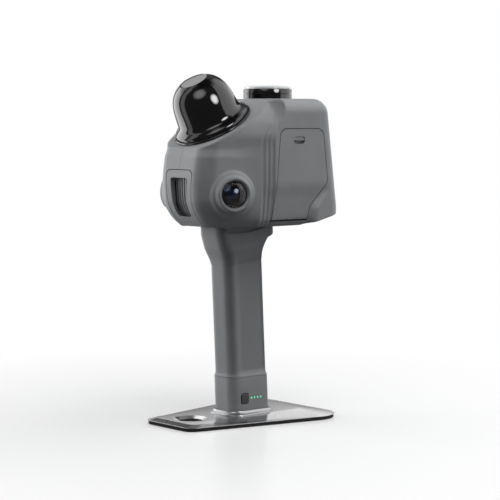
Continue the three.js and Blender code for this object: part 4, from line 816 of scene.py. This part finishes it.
def doorOutline(grow):
    top = headFoot + door["top"] + grow
    return rounded([
        (-door["frontFoot"] - grow, headFoot + door["foot"] - grow, door["smallCorner"]),
        (door["rearFoot"] + grow, headFoot + door["foot"] - grow, door["smallCorner"]),
        (door["hip"] + grow, headFoot + door["hipHeight"] - grow / 2, door["hipCorner"]),
        (door["rearMid"] + grow, headFoot + door["rearMidHeight"] - grow / 2, door["hipCorner"]),
        (door["rearTop"] + grow, top, door["corner"]),
        (door["frontTop"] - grow, top, door["corner"]),
    ])


def slotOutline():
    middle = headFoot + slotHole["height"]
    long, high = slotHole["halfLength"], slotHole["halfHeight"]
    arc = high * slotHole["roundShare"]
    return quad((long, middle - high, arc), (long, middle + high, arc), slotHole["reach"])


# Cutters of everything that opens both shells.
def shellCutters():
    cutters = [cutter(drum(laser["foot"] + laser["holeGap"], *laser["holeSpan"], 128), laserPlace)]
    reach = pod["glass"] + pod["boreGap"]
    bore = [(0, pod["boreFoot"]), (reach, pod["boreFoot"]), (reach, -pod["glassSink"]),
            (reach + pod["glassSink"] + past, past), (0, past)]
    cutters += [cutter(turned(bore), podPlace(side)) for side in (-1, 1)]
    cutters.append(cutter(prism(ventOutline(vent["groove"] / 2), "Y", *frontSpan)))
    cutters.append(cutter(block((-neckHole["half"], -neckHole["front"], headFoot - past),
                                (neckHole["half"], neckHole["rear"], headFoot + past))))
    for n in range(exhaust["count"]):
        foot = headFoot + exhaust["foot"] + n * exhaust["pitch"]
        outline = quad((exhaust["half"], foot, exhaust["corner"]),
                       (exhaust["half"], foot + exhaust["height"], exhaust["corner"]), steps=6)
        cutters.append(cutter(prism(outline, "Y", head["rearTop"] - exhaust["depth"], head["rear"] * 2)))
    cutters.append(cutter(drum(studHole["radius"], headTop - studHole["depth"], headTop + past),
                          Matrix.Translation((0, studHole["setback"], 0))))
    for x in (-screwHoles["half"], screwHoles["half"]):
        for y in (-screwHoles["front"], screwHoles["rear"]):
            hole = drum(screwHoles["radius"], headFoot - past, headFoot + screwHoles["depth"])
            cutters.append(cutter(hole, Matrix.Translation((x, y, 0))))
    return cutters


def makeShells():
    wall = headWall("shellWhole")
    carve(wall, shellCutters())
    for side, word in ((-1, "left"), (1, "right")):
        node = "head_shell_" + word
        shell = copyOf(wall, node + "_skin")
        near, far = sorted((side * head["seam"] / 2, side * beyond))
        half = block((near, -beyond, 0), (far, beyond, 2 * beyond))
        carve(shell, [cutter(half)], "INTERSECT")
        if side > 0:
            carve(shell, [cutter(prism(doorOutline(0), "X", *door["span"]))])
        dress(shell, node, "shell_grey", 32)
    bpy.data.objects.remove(wall)


def makeVentInsert():
    insert = headWall("vent_insert_skin")
    carve(insert, [cutter(prism(ventOutline(-vent["groove"] / 2), "Y", *frontSpan))], "INTERSECT")
    tubeEnd = -head["front"] + vent["depth"]
    tube = cutter(prism(mouthOutline(vent["tubeWall"]), "Y", frontSpan[0], tubeEnd))
    carve(tube, [cutter(headBody(vent["tubeInset"], 60, 6))], "INTERSECT")
    carve(insert, [tube], "UNION")
    behind = block((-beyond, -head["front"] * vent["footShare"], headFoot - past),
                   (beyond, 0, headFoot + vent["footHigh"]))
    carve(insert, [cutter(prism(mouthOutline(), "Y", *frontSpan)), cutter(behind)])
    dress(insert, "vent_insert", "shell_grey", 32)


fins = {"count": 7, "pitch": 2.95, "thickness": 1.1, "round": 0.25, "behind": 5.0, "base": 8.0,
        "root": 2.5, "steps": 20}
# Fin grey is the alloy grey made lighter: its own grey plus painted light that brightens the fins deep in
# the shaded intake.
finGreyPaintedLight = plasticMaterial("finGreyPaintedLight", (0.3, 0.305, 0.31), 0.45, 2400, 0.000006, 0.04, 0.6)


# Cooling fins whose front edges follow the intake down the chin.
def makeFins():
    low, high = nodeBox("heat_sink")
    rear = high.y - shiftY
    profile = []
    for n in range(fins["steps"] + 1):
        z = low.z + (high.z - low.z) * n / fins["steps"]
        face = headShare((z - headFoot) / head["height"], 1) * head["front"]
        reach = max(face - fins["behind"], 1 - rear)
        profile.append((min(-reach, rear - fins["base"]), z))
    profile += [(rear - 1, high.z), (rear - 1, low.z)]
    bm = bmesh.new()
    for n in range(fins["count"]):
        x = (n - (fins["count"] - 1) / 2) * fins["pitch"]
        fin = prism(profile, "X", x - fins["thickness"] / 2, x + fins["thickness"] / 2)
        front = [edge for edge in fin.edges if abs(edge.verts[0].co.x - edge.verts[1].co.x) < 0.01
                 and all(vert.co.y < rear - 1.1 for vert in edge.verts)]
        softenEdges(fin, front, fins["round"])
        absorb(bm, fin)
    sink = finishBm(bm, "heat_sink_skin")
    root = block((low.x, rear - fins["root"], low.z), (high.x, rear, high.z))
    carve(sink, [cutter(root)], "UNION")
    dress(sink, "heat_sink", "alloy", 35, material=finGreyPaintedLight)


# Door with a barrel round its pin; its lower edge is cut back, so that it clears the shell when open.
def makeDoor():
    cover = headWall("side_door_skin")
    carve(cover, [cutter(prism(doorOutline(-door["gap"]), "X", *door["span"]))], "INTERSECT")
    low, high = nodeBox("door_pin")
    hinge = Vector(((low.x + high.x) / 2, 0, (low.z + high.z) / 2))
    start, end = door["barrelEnd"] - door["frontFoot"], door["rearFoot"] - door["barrelEnd"]
    for reach, drop in ((door["lipReach"], door["lip"]), (door["lipInner"], door["barrel"] / 3)):
        room = block((hinge.x - door["lipReach"], -beyond, headFoot - past),
                     (hinge.x + reach, beyond, hinge.z - drop))
        carve(cover, [cutter(room)])
    carve(cover, [cutter(drum(door["barrel"], start, end, 32), along("Y", hinge))], "UNION")
    pinHole = drum(door["pin"] + door["pinGap"], start - past, end + past, 24)
    carve(cover, [cutter(pinHole, along("Y", hinge)), cutter(prism(slotOutline(), "X", *door["span"]))])
    dress(cover, "side_door", "shell_grey", 32, "door")


makeShells()
print("shells ready")
makeVentInsert()
makeFins()
makeDoor()
print("vent insert, fins and door ready")
bpy.data.objects.remove(headSkin)


# Laser unit

# Dome outline as [radius, height] shares.
windowShares = [(1, 0), (1, 0.05), (0.985, 0.09), (0.93, 0.13), (0.875, 0.165), (0.842, 0.22), (0.825, 0.32),
                (0.805, 0.46), (0.78, 0.58), (0.735, 0.7), (0.665, 0.81), (0.56, 0.905), (0.455, 0.965),
                (0.374, 1)]
window = {"height": 41.5, "wall": 1.8, "cap": 12.2, "recess": 0.5, "ringOuter": 34.2, "ringInner": 33.1,
          "ringHeight": 1.6, "ringFoot": 0.3}


def makeLaserWindow():
    foot, height, wall = laser["foot"], window["height"], window["wall"]
    outer = smoothProfile([(foot * r, height * h) for r, h in windowShares], 8)
    inner = smoothProfile([(foot * r - wall, (height - wall) * h) for r, h in windowShares], 3)
    sunk = height - window["recess"]
    lip = window["cap"] - window["recess"]
    disc = [(lip + 0.1, height - 0.05), (lip - 0.1, height - 0.2), (lip - 0.3, sunk + 0.06),
            (lip - 0.45, sunk), (lip - 1.1, sunk), (lip - 1.8, sunk), (0, sunk)]
    profile = [(0, sunk - wall), *reversed(inner), *outer, *disc]
    makePiece(turned(profile, 128), "laser_window", "black_window", 22, laserPlace)


def makeTrimRing():
    foot = window["ringFoot"] - laser["ringProud"]
    top = foot + window["ringHeight"]
    inner, outer = window["ringInner"], window["ringOuter"]
    profile = [(inner, foot), (outer, foot), (outer, top - 0.6), (outer - 0.15, top - 0.25),
               (outer - 0.5, top - 0.04), (inner + 0.2, top), (inner, top - 0.2), (inner, foot)]
    makePiece(turned(profile, 160), "laser_trim_ring", "black_window", 40, laserPlace)


makeLaserWindow()
makeTrimRing()
print("laser unit ready")


# Antenna puck

puck = {"setback": 31.0, "radius": 20.8, "ring": 3.9, "wall": 2.0, "crown": 3.0, "edge": 0.9, "floor": 1.4,
        "crownShares": [(1, 0.33), (0.975, 0.62), (0.85, 0.86), (0.5, 0.98), (0, 1)]}


def makePuck():
    radius, high, floor = puck["radius"], puck["ring"], puck["floor"]
    inner, rim = radius - puck["wall"], radius - puck["edge"]
    crown = smoothProfile([(rim * reach, puck["crown"] * rise) for reach, rise in puck["crownShares"]], 6)
    base = [(0, 0), (radius - 0.15, 0), (radius, 0.15), (radius, high - 0.1), (radius - 0.1, high),
            (inner, high), (inner, floor), (0, floor)]
    ring = [(inner, 0), (radius - 0.1, 0), (radius, 0.1), (radius, high - 0.3), (radius - 0.1, high - 0.08),
            (radius - 0.3, high), (inner, high), (inner, 0)]
    for node, slot, profile in (("puck_base", "black_window", base), ("puck_ring", "black_window", ring),
                                ("puck_cover", "white_plastic", [(0, 0), (rim, 0), *crown])):
        place = Matrix.Translation((0, puck["setback"], nodeBox(node)[0].z))
        makePiece(turned(profile, 128), node, slot, 40, place)


makePuck()
print("puck ready")


# Side cameras

# Heights are from the rim's plane; the bezel steps down to the lens in small rings.
lens = {"barrel": 8.0, "barrelFoot": -14.3, "barrelTop": -5.8, "bezel": 10.5, "bezelFoot": -4.0,
        "bezelTop": -2.0, "rings": 4, "ringWidth": 0.62, "ringFace": 0.3, "ringDrop": 0.25, "seat": -5.2,
        "seatRise": 0.4, "front": 6.3, "frontRise": 2.4, "gap": 0.1}
coated = lensMaterial("coatedGlass", (0.002, 0.003, 0.003), 330.0, 0.03, 0.0, 1.55)
clearGlass = lensMaterial("clearGlass", (0.5, 0.56, 0.56), 118.0)
baffle = plasticMaterial("lensBaffle", (0.0035, 0.0035, 0.004), 0.6, 3000, 0.00001, 0.1, 0.12)


# Points of a shallow dome, from its rim to its crown.
def cap(radius, foot, rise, steps=14):
    sphere = (radius * radius + rise * rise) / (2 * rise)
    angles = [math.asin(radius / sphere) * (1 - n / steps) for n in range(steps + 1)]
    return [(sphere * math.sin(angle), foot + rise - sphere + sphere * math.cos(angle)) for angle in angles]


def makeSideCamera(side, word):
    place = podPlace(side)
    sink, wall = -pod["glassSink"], pod["glassWall"]
    outer = cap(pod["glass"], sink, pod["glassRise"])
    inner = cap(pod["glass"] - wall, sink, pod["glassRise"] - wall * 0.6)
    glass = turned([*outer, *reversed(inner), outer[0]])
    makePiece(glass, "camera_window_" + word, "lens_glass", 50, place, material=clearGlass)
    body = [(0, lens["barrelFoot"]), (lens["barrel"], lens["barrelFoot"]),
            (lens["barrel"], lens["barrelTop"]), (lens["bezel"], lens["bezelFoot"])]
    for n in range(lens["rings"]):
        share = n / lens["rings"]
        reach = lens["bezel"] + (lens["front"] + lens["ringFace"] - lens["bezel"]) * share
        drop = lens["bezelTop"] + (lens["seat"] + lens["seatRise"] - lens["bezelTop"]) * share
        body += [(reach, drop - lens["ringDrop"]), (reach - lens["ringFace"], drop),
                 (reach - lens["ringWidth"], drop)]
    body += [(lens["front"], lens["seat"]), (0, lens["seat"])]
    makePiece(turned(body), "camera_barrel_" + word, "dark_plastic", 30, place, material=baffle)
    foot = lens["seat"] + lens["gap"]
    eye = turned([(0, foot), *cap(lens["front"] - lens["gap"], foot, lens["frontRise"])], 72)
    piece = finishBm(eye, "camera_lens_" + word, place)
    shade(piece, 50)
    piece.data.materials.append(coated)
    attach(piece, "scanner")


for side, word in ((-1, "left"), (1, "right")):
    makeSideCamera(side, word)
print("cameras ready")


# Grip, foot and plate

grip = {"lean": 2.79, "setback": 0.6, "half": 14.0, "depth": 19.3, "frontRound": 8.6, "rearRound": 3.0,
        "wall": 2.2, "arcSteps": 12, "sideSteps": 24}
foot = {"step": 1.2, "height": 31.9, "collarSpread": 4.6, "collarLip": 1.5, "collarHeight": 3.4,
        "collarTop": 0.6, "collarGap": 0.3, "wall": 2.2}
flare = {"start": 134.0, "half": 16.3, "front": 27.6, "rear": 32.8, "rearRound": 5.0, "groove": 7.5,
         "grooveDepth": 1.6, "slopeShare": 0.12, "ramp": 5.6, "rampSteps": 16, "steps": 40}
rampShares = [(0, 1), (0.1, 0.86), (0.22, 0.55), (0.38, 0.27), (0.6, 0.08), (1, 0)]
# Shares by height: front, rear and slope of the flare, then the creased width and the sunken panel.
flareShares = [(0, 0, 0, 1), (0.25, 0.13, 0.02, 1.3), (0.48, 0.33, 0.2, 1.6), (0.66, 0.55, 0.46, 1.6),
               (0.82, 0.78, 0.82, 0.8), (1, 1, 1, 0)]
wideShares = [(0, 0), (0.02, 0), (0.56, 1), (1, 1)]
sunkShares = [(0, 1), (0.02, 1), (0.5, 0), (1, 0)]
panel = {"front": 15.5, "rear": 18.6, "frontBlend": 9.0, "blend": 2.6, "depth": 1.2, "foot": 6.0}
gripTop = headFoot - 0.3
footTop = plateTop + foot["height"]
footFace = grip["half"] + foot["step"]


# Straight steps through share rows.
def ramp(rows, value):
    for (low, first), (high, second) in zip(rows, rows[1:]):
        if value <= high:
            return first + (second - first) * (value - low) / (high - low)
    return rows[-1][1]


def gripMiddle(z):
    return grip["setback"] - math.tan(rad(grip["lean"])) * z


def smoothStep(low, high, value):
    share = max(0.0, min(1.0, (value - low) / (high - low)))
    return share * share * (3 - 2 * share)


# Section of the handle; its sides may sink in to a panel.
def gripSection(z, half, front, rear, frontRound, rearRound, grow=0.0, sunk=0.0):
    middle = gripMiddle(z)
    wide, low, high = half + grow, middle - front - grow, middle + rear + grow
    ahead, behind = Vector((wide, low)), Vector((wide, high))
    side = fillet(ahead, Vector((-wide, low)), behind, max(frontRound + grow, 0.3), grip["arcSteps"])
    arc = fillet(behind, ahead, Vector((-wide, high)), max(rearRound + grow, 0.3), grip["arcSteps"])
    count = grip["sideSteps"]
    side += [side[-1].lerp(arc[0], n / count) for n in range(1, count)] + arc
    for point in side:
        setback = point.y - middle
        depth = smoothStep(-panel["front"], panel["frontBlend"] - panel["front"], setback)
        depth *= 1 - smoothStep(panel["rear"] - panel["blend"], panel["rear"], setback)
        point.x -= sunk * depth
    return level(side + [Vector((-point.x, point.y)) for point in reversed(side)], z)


def plainSection(z, grow=0.0, sunk=0.0):
    return gripSection(z, grip["half"], grip["depth"], grip["depth"], grip["frontRound"],
                       grip["rearRound"], grow, sunk)


def flareSection(rise):
    front, rear, slope = (cubicColumn(flareShares, column, rise) for column in (1, 2, 3))
    wide = ramp(wideShares, rise)
    z = flare["start"] + rise * (gripTop - flare["groove"] - flare["start"])
    ring = gripSection(z, grip["half"] + wide * (flare["half"] - grip["half"]),
                       grip["depth"] + front * (flare["front"] - grip["depth"]),
                       grip["depth"] + rear * (flare["rear"] - grip["depth"]), grip["frontRound"],
                       grip["rearRound"] + rear * (flare["rearRound"] - grip["rearRound"]),
                       sunk=panel["depth"] * ramp(sunkShares, rise))
    for point in ring:
        point.z += slope * flare["slopeShare"] * (point.y - gripMiddle(z))
    return ring


def flangeSection(z, grow=0.0):
    return gripSection(z, flare["half"], flare["front"], flare["rear"], grip["frontRound"],
                       flare["rearRound"], grow)


groove = {"foot": 1.6, "rise": 0.6, "front": 21.0, "bend": 4.0, "rear": 29.0, "top": 0.4}


# Groove under the head along both sides of the grip; it closes towards the rear.
def neckGroove():
    low, top = gripTop - flare["groove"] + groove["foot"], gripTop + past
    middle = gripMiddle(gripTop)
    front, rear = middle - groove["front"], middle + groove["rear"]
    outline = [(front, low), (middle + groove["bend"], low + groove["rise"]),
               (rear, gripTop - groove["top"]), (rear, top), (front, top)]
    around = cutter(prism(outline, "X", -beyond, beyond))
    core = loft([flangeSection(z, -flare["grooveDepth"]) for z in (low - 1, top + 1)])
    carve(around, [cutter(core)])
    return around


def makeGrip():
    low = footTop + 0.3
    rings = []
    for n in range(flare["rampSteps"] + 3):
        rise = n / flare["rampSteps"]
        step = cubicColumn(rampShares, 1, min(rise, 1)) * foot["step"]
        sunk = panel["depth"] * smoothStep(0, panel["foot"], rise * flare["ramp"])
        rings.append(plainSection(low + rise * flare["ramp"], step, sunk))
    rings += [flareSection(n / flare["steps"]) for n in range(flare["steps"] + 1)]
    rings.append(flangeSection(gripTop))
    cavity = loft([plainSection(z, -grip["wall"] - panel["depth"]) for z in (low - past, gripTop - 8)])
    makePiece(loft(rings), "grip_sleeve", "grip_grey", 24, cutters=[cutter(cavity), neckGroove()])


button = {"height": 18.9, "reach": 7.9, "halfWidth": 4.2, "halfHeight": 4.5, "round": 2.2, "proud": 0.6,
          "edge": 0.45, "gap": 0.3, "lipThickness": 0.8}
lights = {"count": 4, "setback": 0.4, "pitch": 3.5, "radius": 0.8, "gap": 0.15}
footRoom = {"front": 13.8, "rear": 12.8, "halfHeight": 8.0, "depth": 7.0}  # behind button and lights


def buttonOutline(grow):
    wide, high, arc = button["halfWidth"] + grow, button["halfHeight"] + grow, button["round"] + grow
    middle = button["height"]
    return quad((wide, middle - high, arc), (wide, middle + high, arc), -button["reach"])


def lightPlace(n):
    return along("X", (0, n * lights["pitch"] - lights["setback"], button["height"]))


def makeFootBlock():
    rings = [plainSection(plateTop, foot["step"]), plainSection(footTop - 0.35, foot["step"]),
             plainSection(footTop - 0.1, foot["step"] - 0.1), plainSection(footTop, foot["step"] - 0.35)]
    inner = footFace - foot["wall"]
    low, high = button["height"] - footRoom["halfHeight"], button["height"] + footRoom["halfHeight"]
    room = block((inner - footRoom["depth"], -footRoom["front"], low), (inner, footRoom["rear"], high))
    pocket = prism(buttonOutline(button["gap"]), "X", inner - past, footFace + past)
    cutters = [cutter(room), cutter(pocket)]
    for n in range(lights["count"]):
        hole = drum(lights["radius"] + lights["gap"], inner - past, footFace + past, 32)
        cutters.append(cutter(hole, lightPlace(n)))
    makePiece(loft(rings), "foot_block", "grip_grey", 30, cutters=cutters)


def makeButton():
    lipTop = footFace - foot["wall"] - button["gap"]
    bm = prism(buttonOutline(0), "X", lipTop - button["lipThickness"], footFace + button["proud"])
    rim = [edge for edge in bm.edges if all(vert.co.x > footFace for vert in edge.verts)]
    softenEdges(bm, rim, button["edge"])
    makePiece(bm, "power_button", "dark_plastic", 40, body="button")


def makeLights():
    r = lights["radius"]
    for n in range(lights["count"]):
        node = "charge_light_%d" % (n + 1)
        low = nodeBox(node)[0].x
        profile = [(0, low), (r, low), (r, footFace - 0.2), (r * 0.9, footFace - 0.06),
                   (r * 0.5, footFace - 0.01), (0, footFace)]
        makePiece(turned(profile, 32), node, "light_green", 40, lightPlace(n))


# Metal collar: [height, reach] shares from its wide foot to its tight top.
collarShares = [(0, 1), (0.06, 1.0), (0.14, 0.95), (0.3, 0.66), (0.5, 0.34), (0.75, 0.12), (0.94, 0.02),
                (1, 0.06)]


def makeCollar():
    wide, lip, high = foot["collarSpread"], foot["collarLip"], foot["collarHeight"]
    curve = smoothProfile([(lip + share * (wide - lip), rise * high) for rise, share in collarShares], 3)
    rings = [plainSection(plateTop + rise, foot["step"] + reach) for reach, rise in curve]
    rings.append(plainSection(plateTop + high - 0.05, foot["step"] + foot["collarTop"]))
    ends = (plateTop - past, plateTop + high + past)
    hole = loft([plainSection(z, foot["step"] + foot["collarGap"]) for z in ends])
    makePiece(loft(rings), "foot_collar", "bright_metal", 45, cutters=[cutter(hole)])


spine = {"frontInset": 7.0, "rearInset": 16.0, "sideInset": 3.0, "rearHalf": 20.5, "corner": 8.0}
sight = {"reach": 55.0, "radius": 10.5, "bevel": 4.0, "bevelDepth": 1.9, "edge": 0.15}
pad = {"inset": 0.4, "edge": 0.35, "screwHole": 7.8}
sightPlace = Matrix.Translation((0, -sight["reach"], 0))


def plateRing(inset, z):
    return level(quad((plate["frontHalf"] - inset, inset - plate["front"], plate["frontCorner"]),
                      (plate["rearHalf"] - inset, plate["rear"] - inset, plate["rearCorner"]), steps=16), z)


# Edge of the plate's raised middle.
def spineRing(z, grow):
    front, rear = spine["frontInset"] - plate["front"] - grow, plate["rear"] - spine["rearInset"] + grow
    frontHalf, rearHalf = plate["frontHalf"] - spine["sideInset"] + grow, spine["rearHalf"] + grow
    return level(quad((frontHalf, front, spine["corner"]), (rearHalf, rear, spine["corner"]), steps=16), z)


def makePlate():
    edgeTop = padTop + plate["edge"]
    rings = [plateRing(0.2, padTop), plateRing(0, padTop + 0.2), plateRing(0, edgeTop - 0.12),
             plateRing(0.12, edgeTop + 0.03), spineRing(plateTop - 0.06, 0.5), spineRing(plateTop, -0.6)]
    bevelFoot = plateTop - sight["bevelDepth"]
    slope = sight["bevel"] / sight["bevelDepth"]
    inner = sight["radius"]
    outer = inner + sight["edge"]
    hole = [(0, -past), (inner, -past), (inner, bevelFoot - sight["edge"]), (outer, bevelFoot),
            (outer + slope * past, bevelFoot + past), (0, bevelFoot + past)]
    screwHole = drum(plate["screwHole"], -past, plateTop + past)
    makePiece(loft(rings), "base_plate", "plate_metal", 7,
              cutters=[cutter(turned(hole), sightPlace), cutter(screwHole)])


def makePad():
    rings = [plateRing(pad["inset"] + pad["edge"], 0), plateRing(pad["inset"], pad["edge"]),
             plateRing(pad["inset"], padTop)]
    sightHole = drum(sight["radius"] + pad["inset"], -past, padTop + past, 96)
    screwHole = drum(pad["screwHole"], -past, padTop + past, 64)
    makePiece(loft(rings), "base_pad", "pad_rubber", 30,
              cutters=[cutter(sightHole, sightPlace), cutter(screwHole)])


makeGrip()
makeFootBlock()
makeButton()
makeLights()
makeCollar()
makePlate()
makePad()
print("grip, foot and plate ready")

bpy.context.scene.view_settings.view_transform = "Standard"
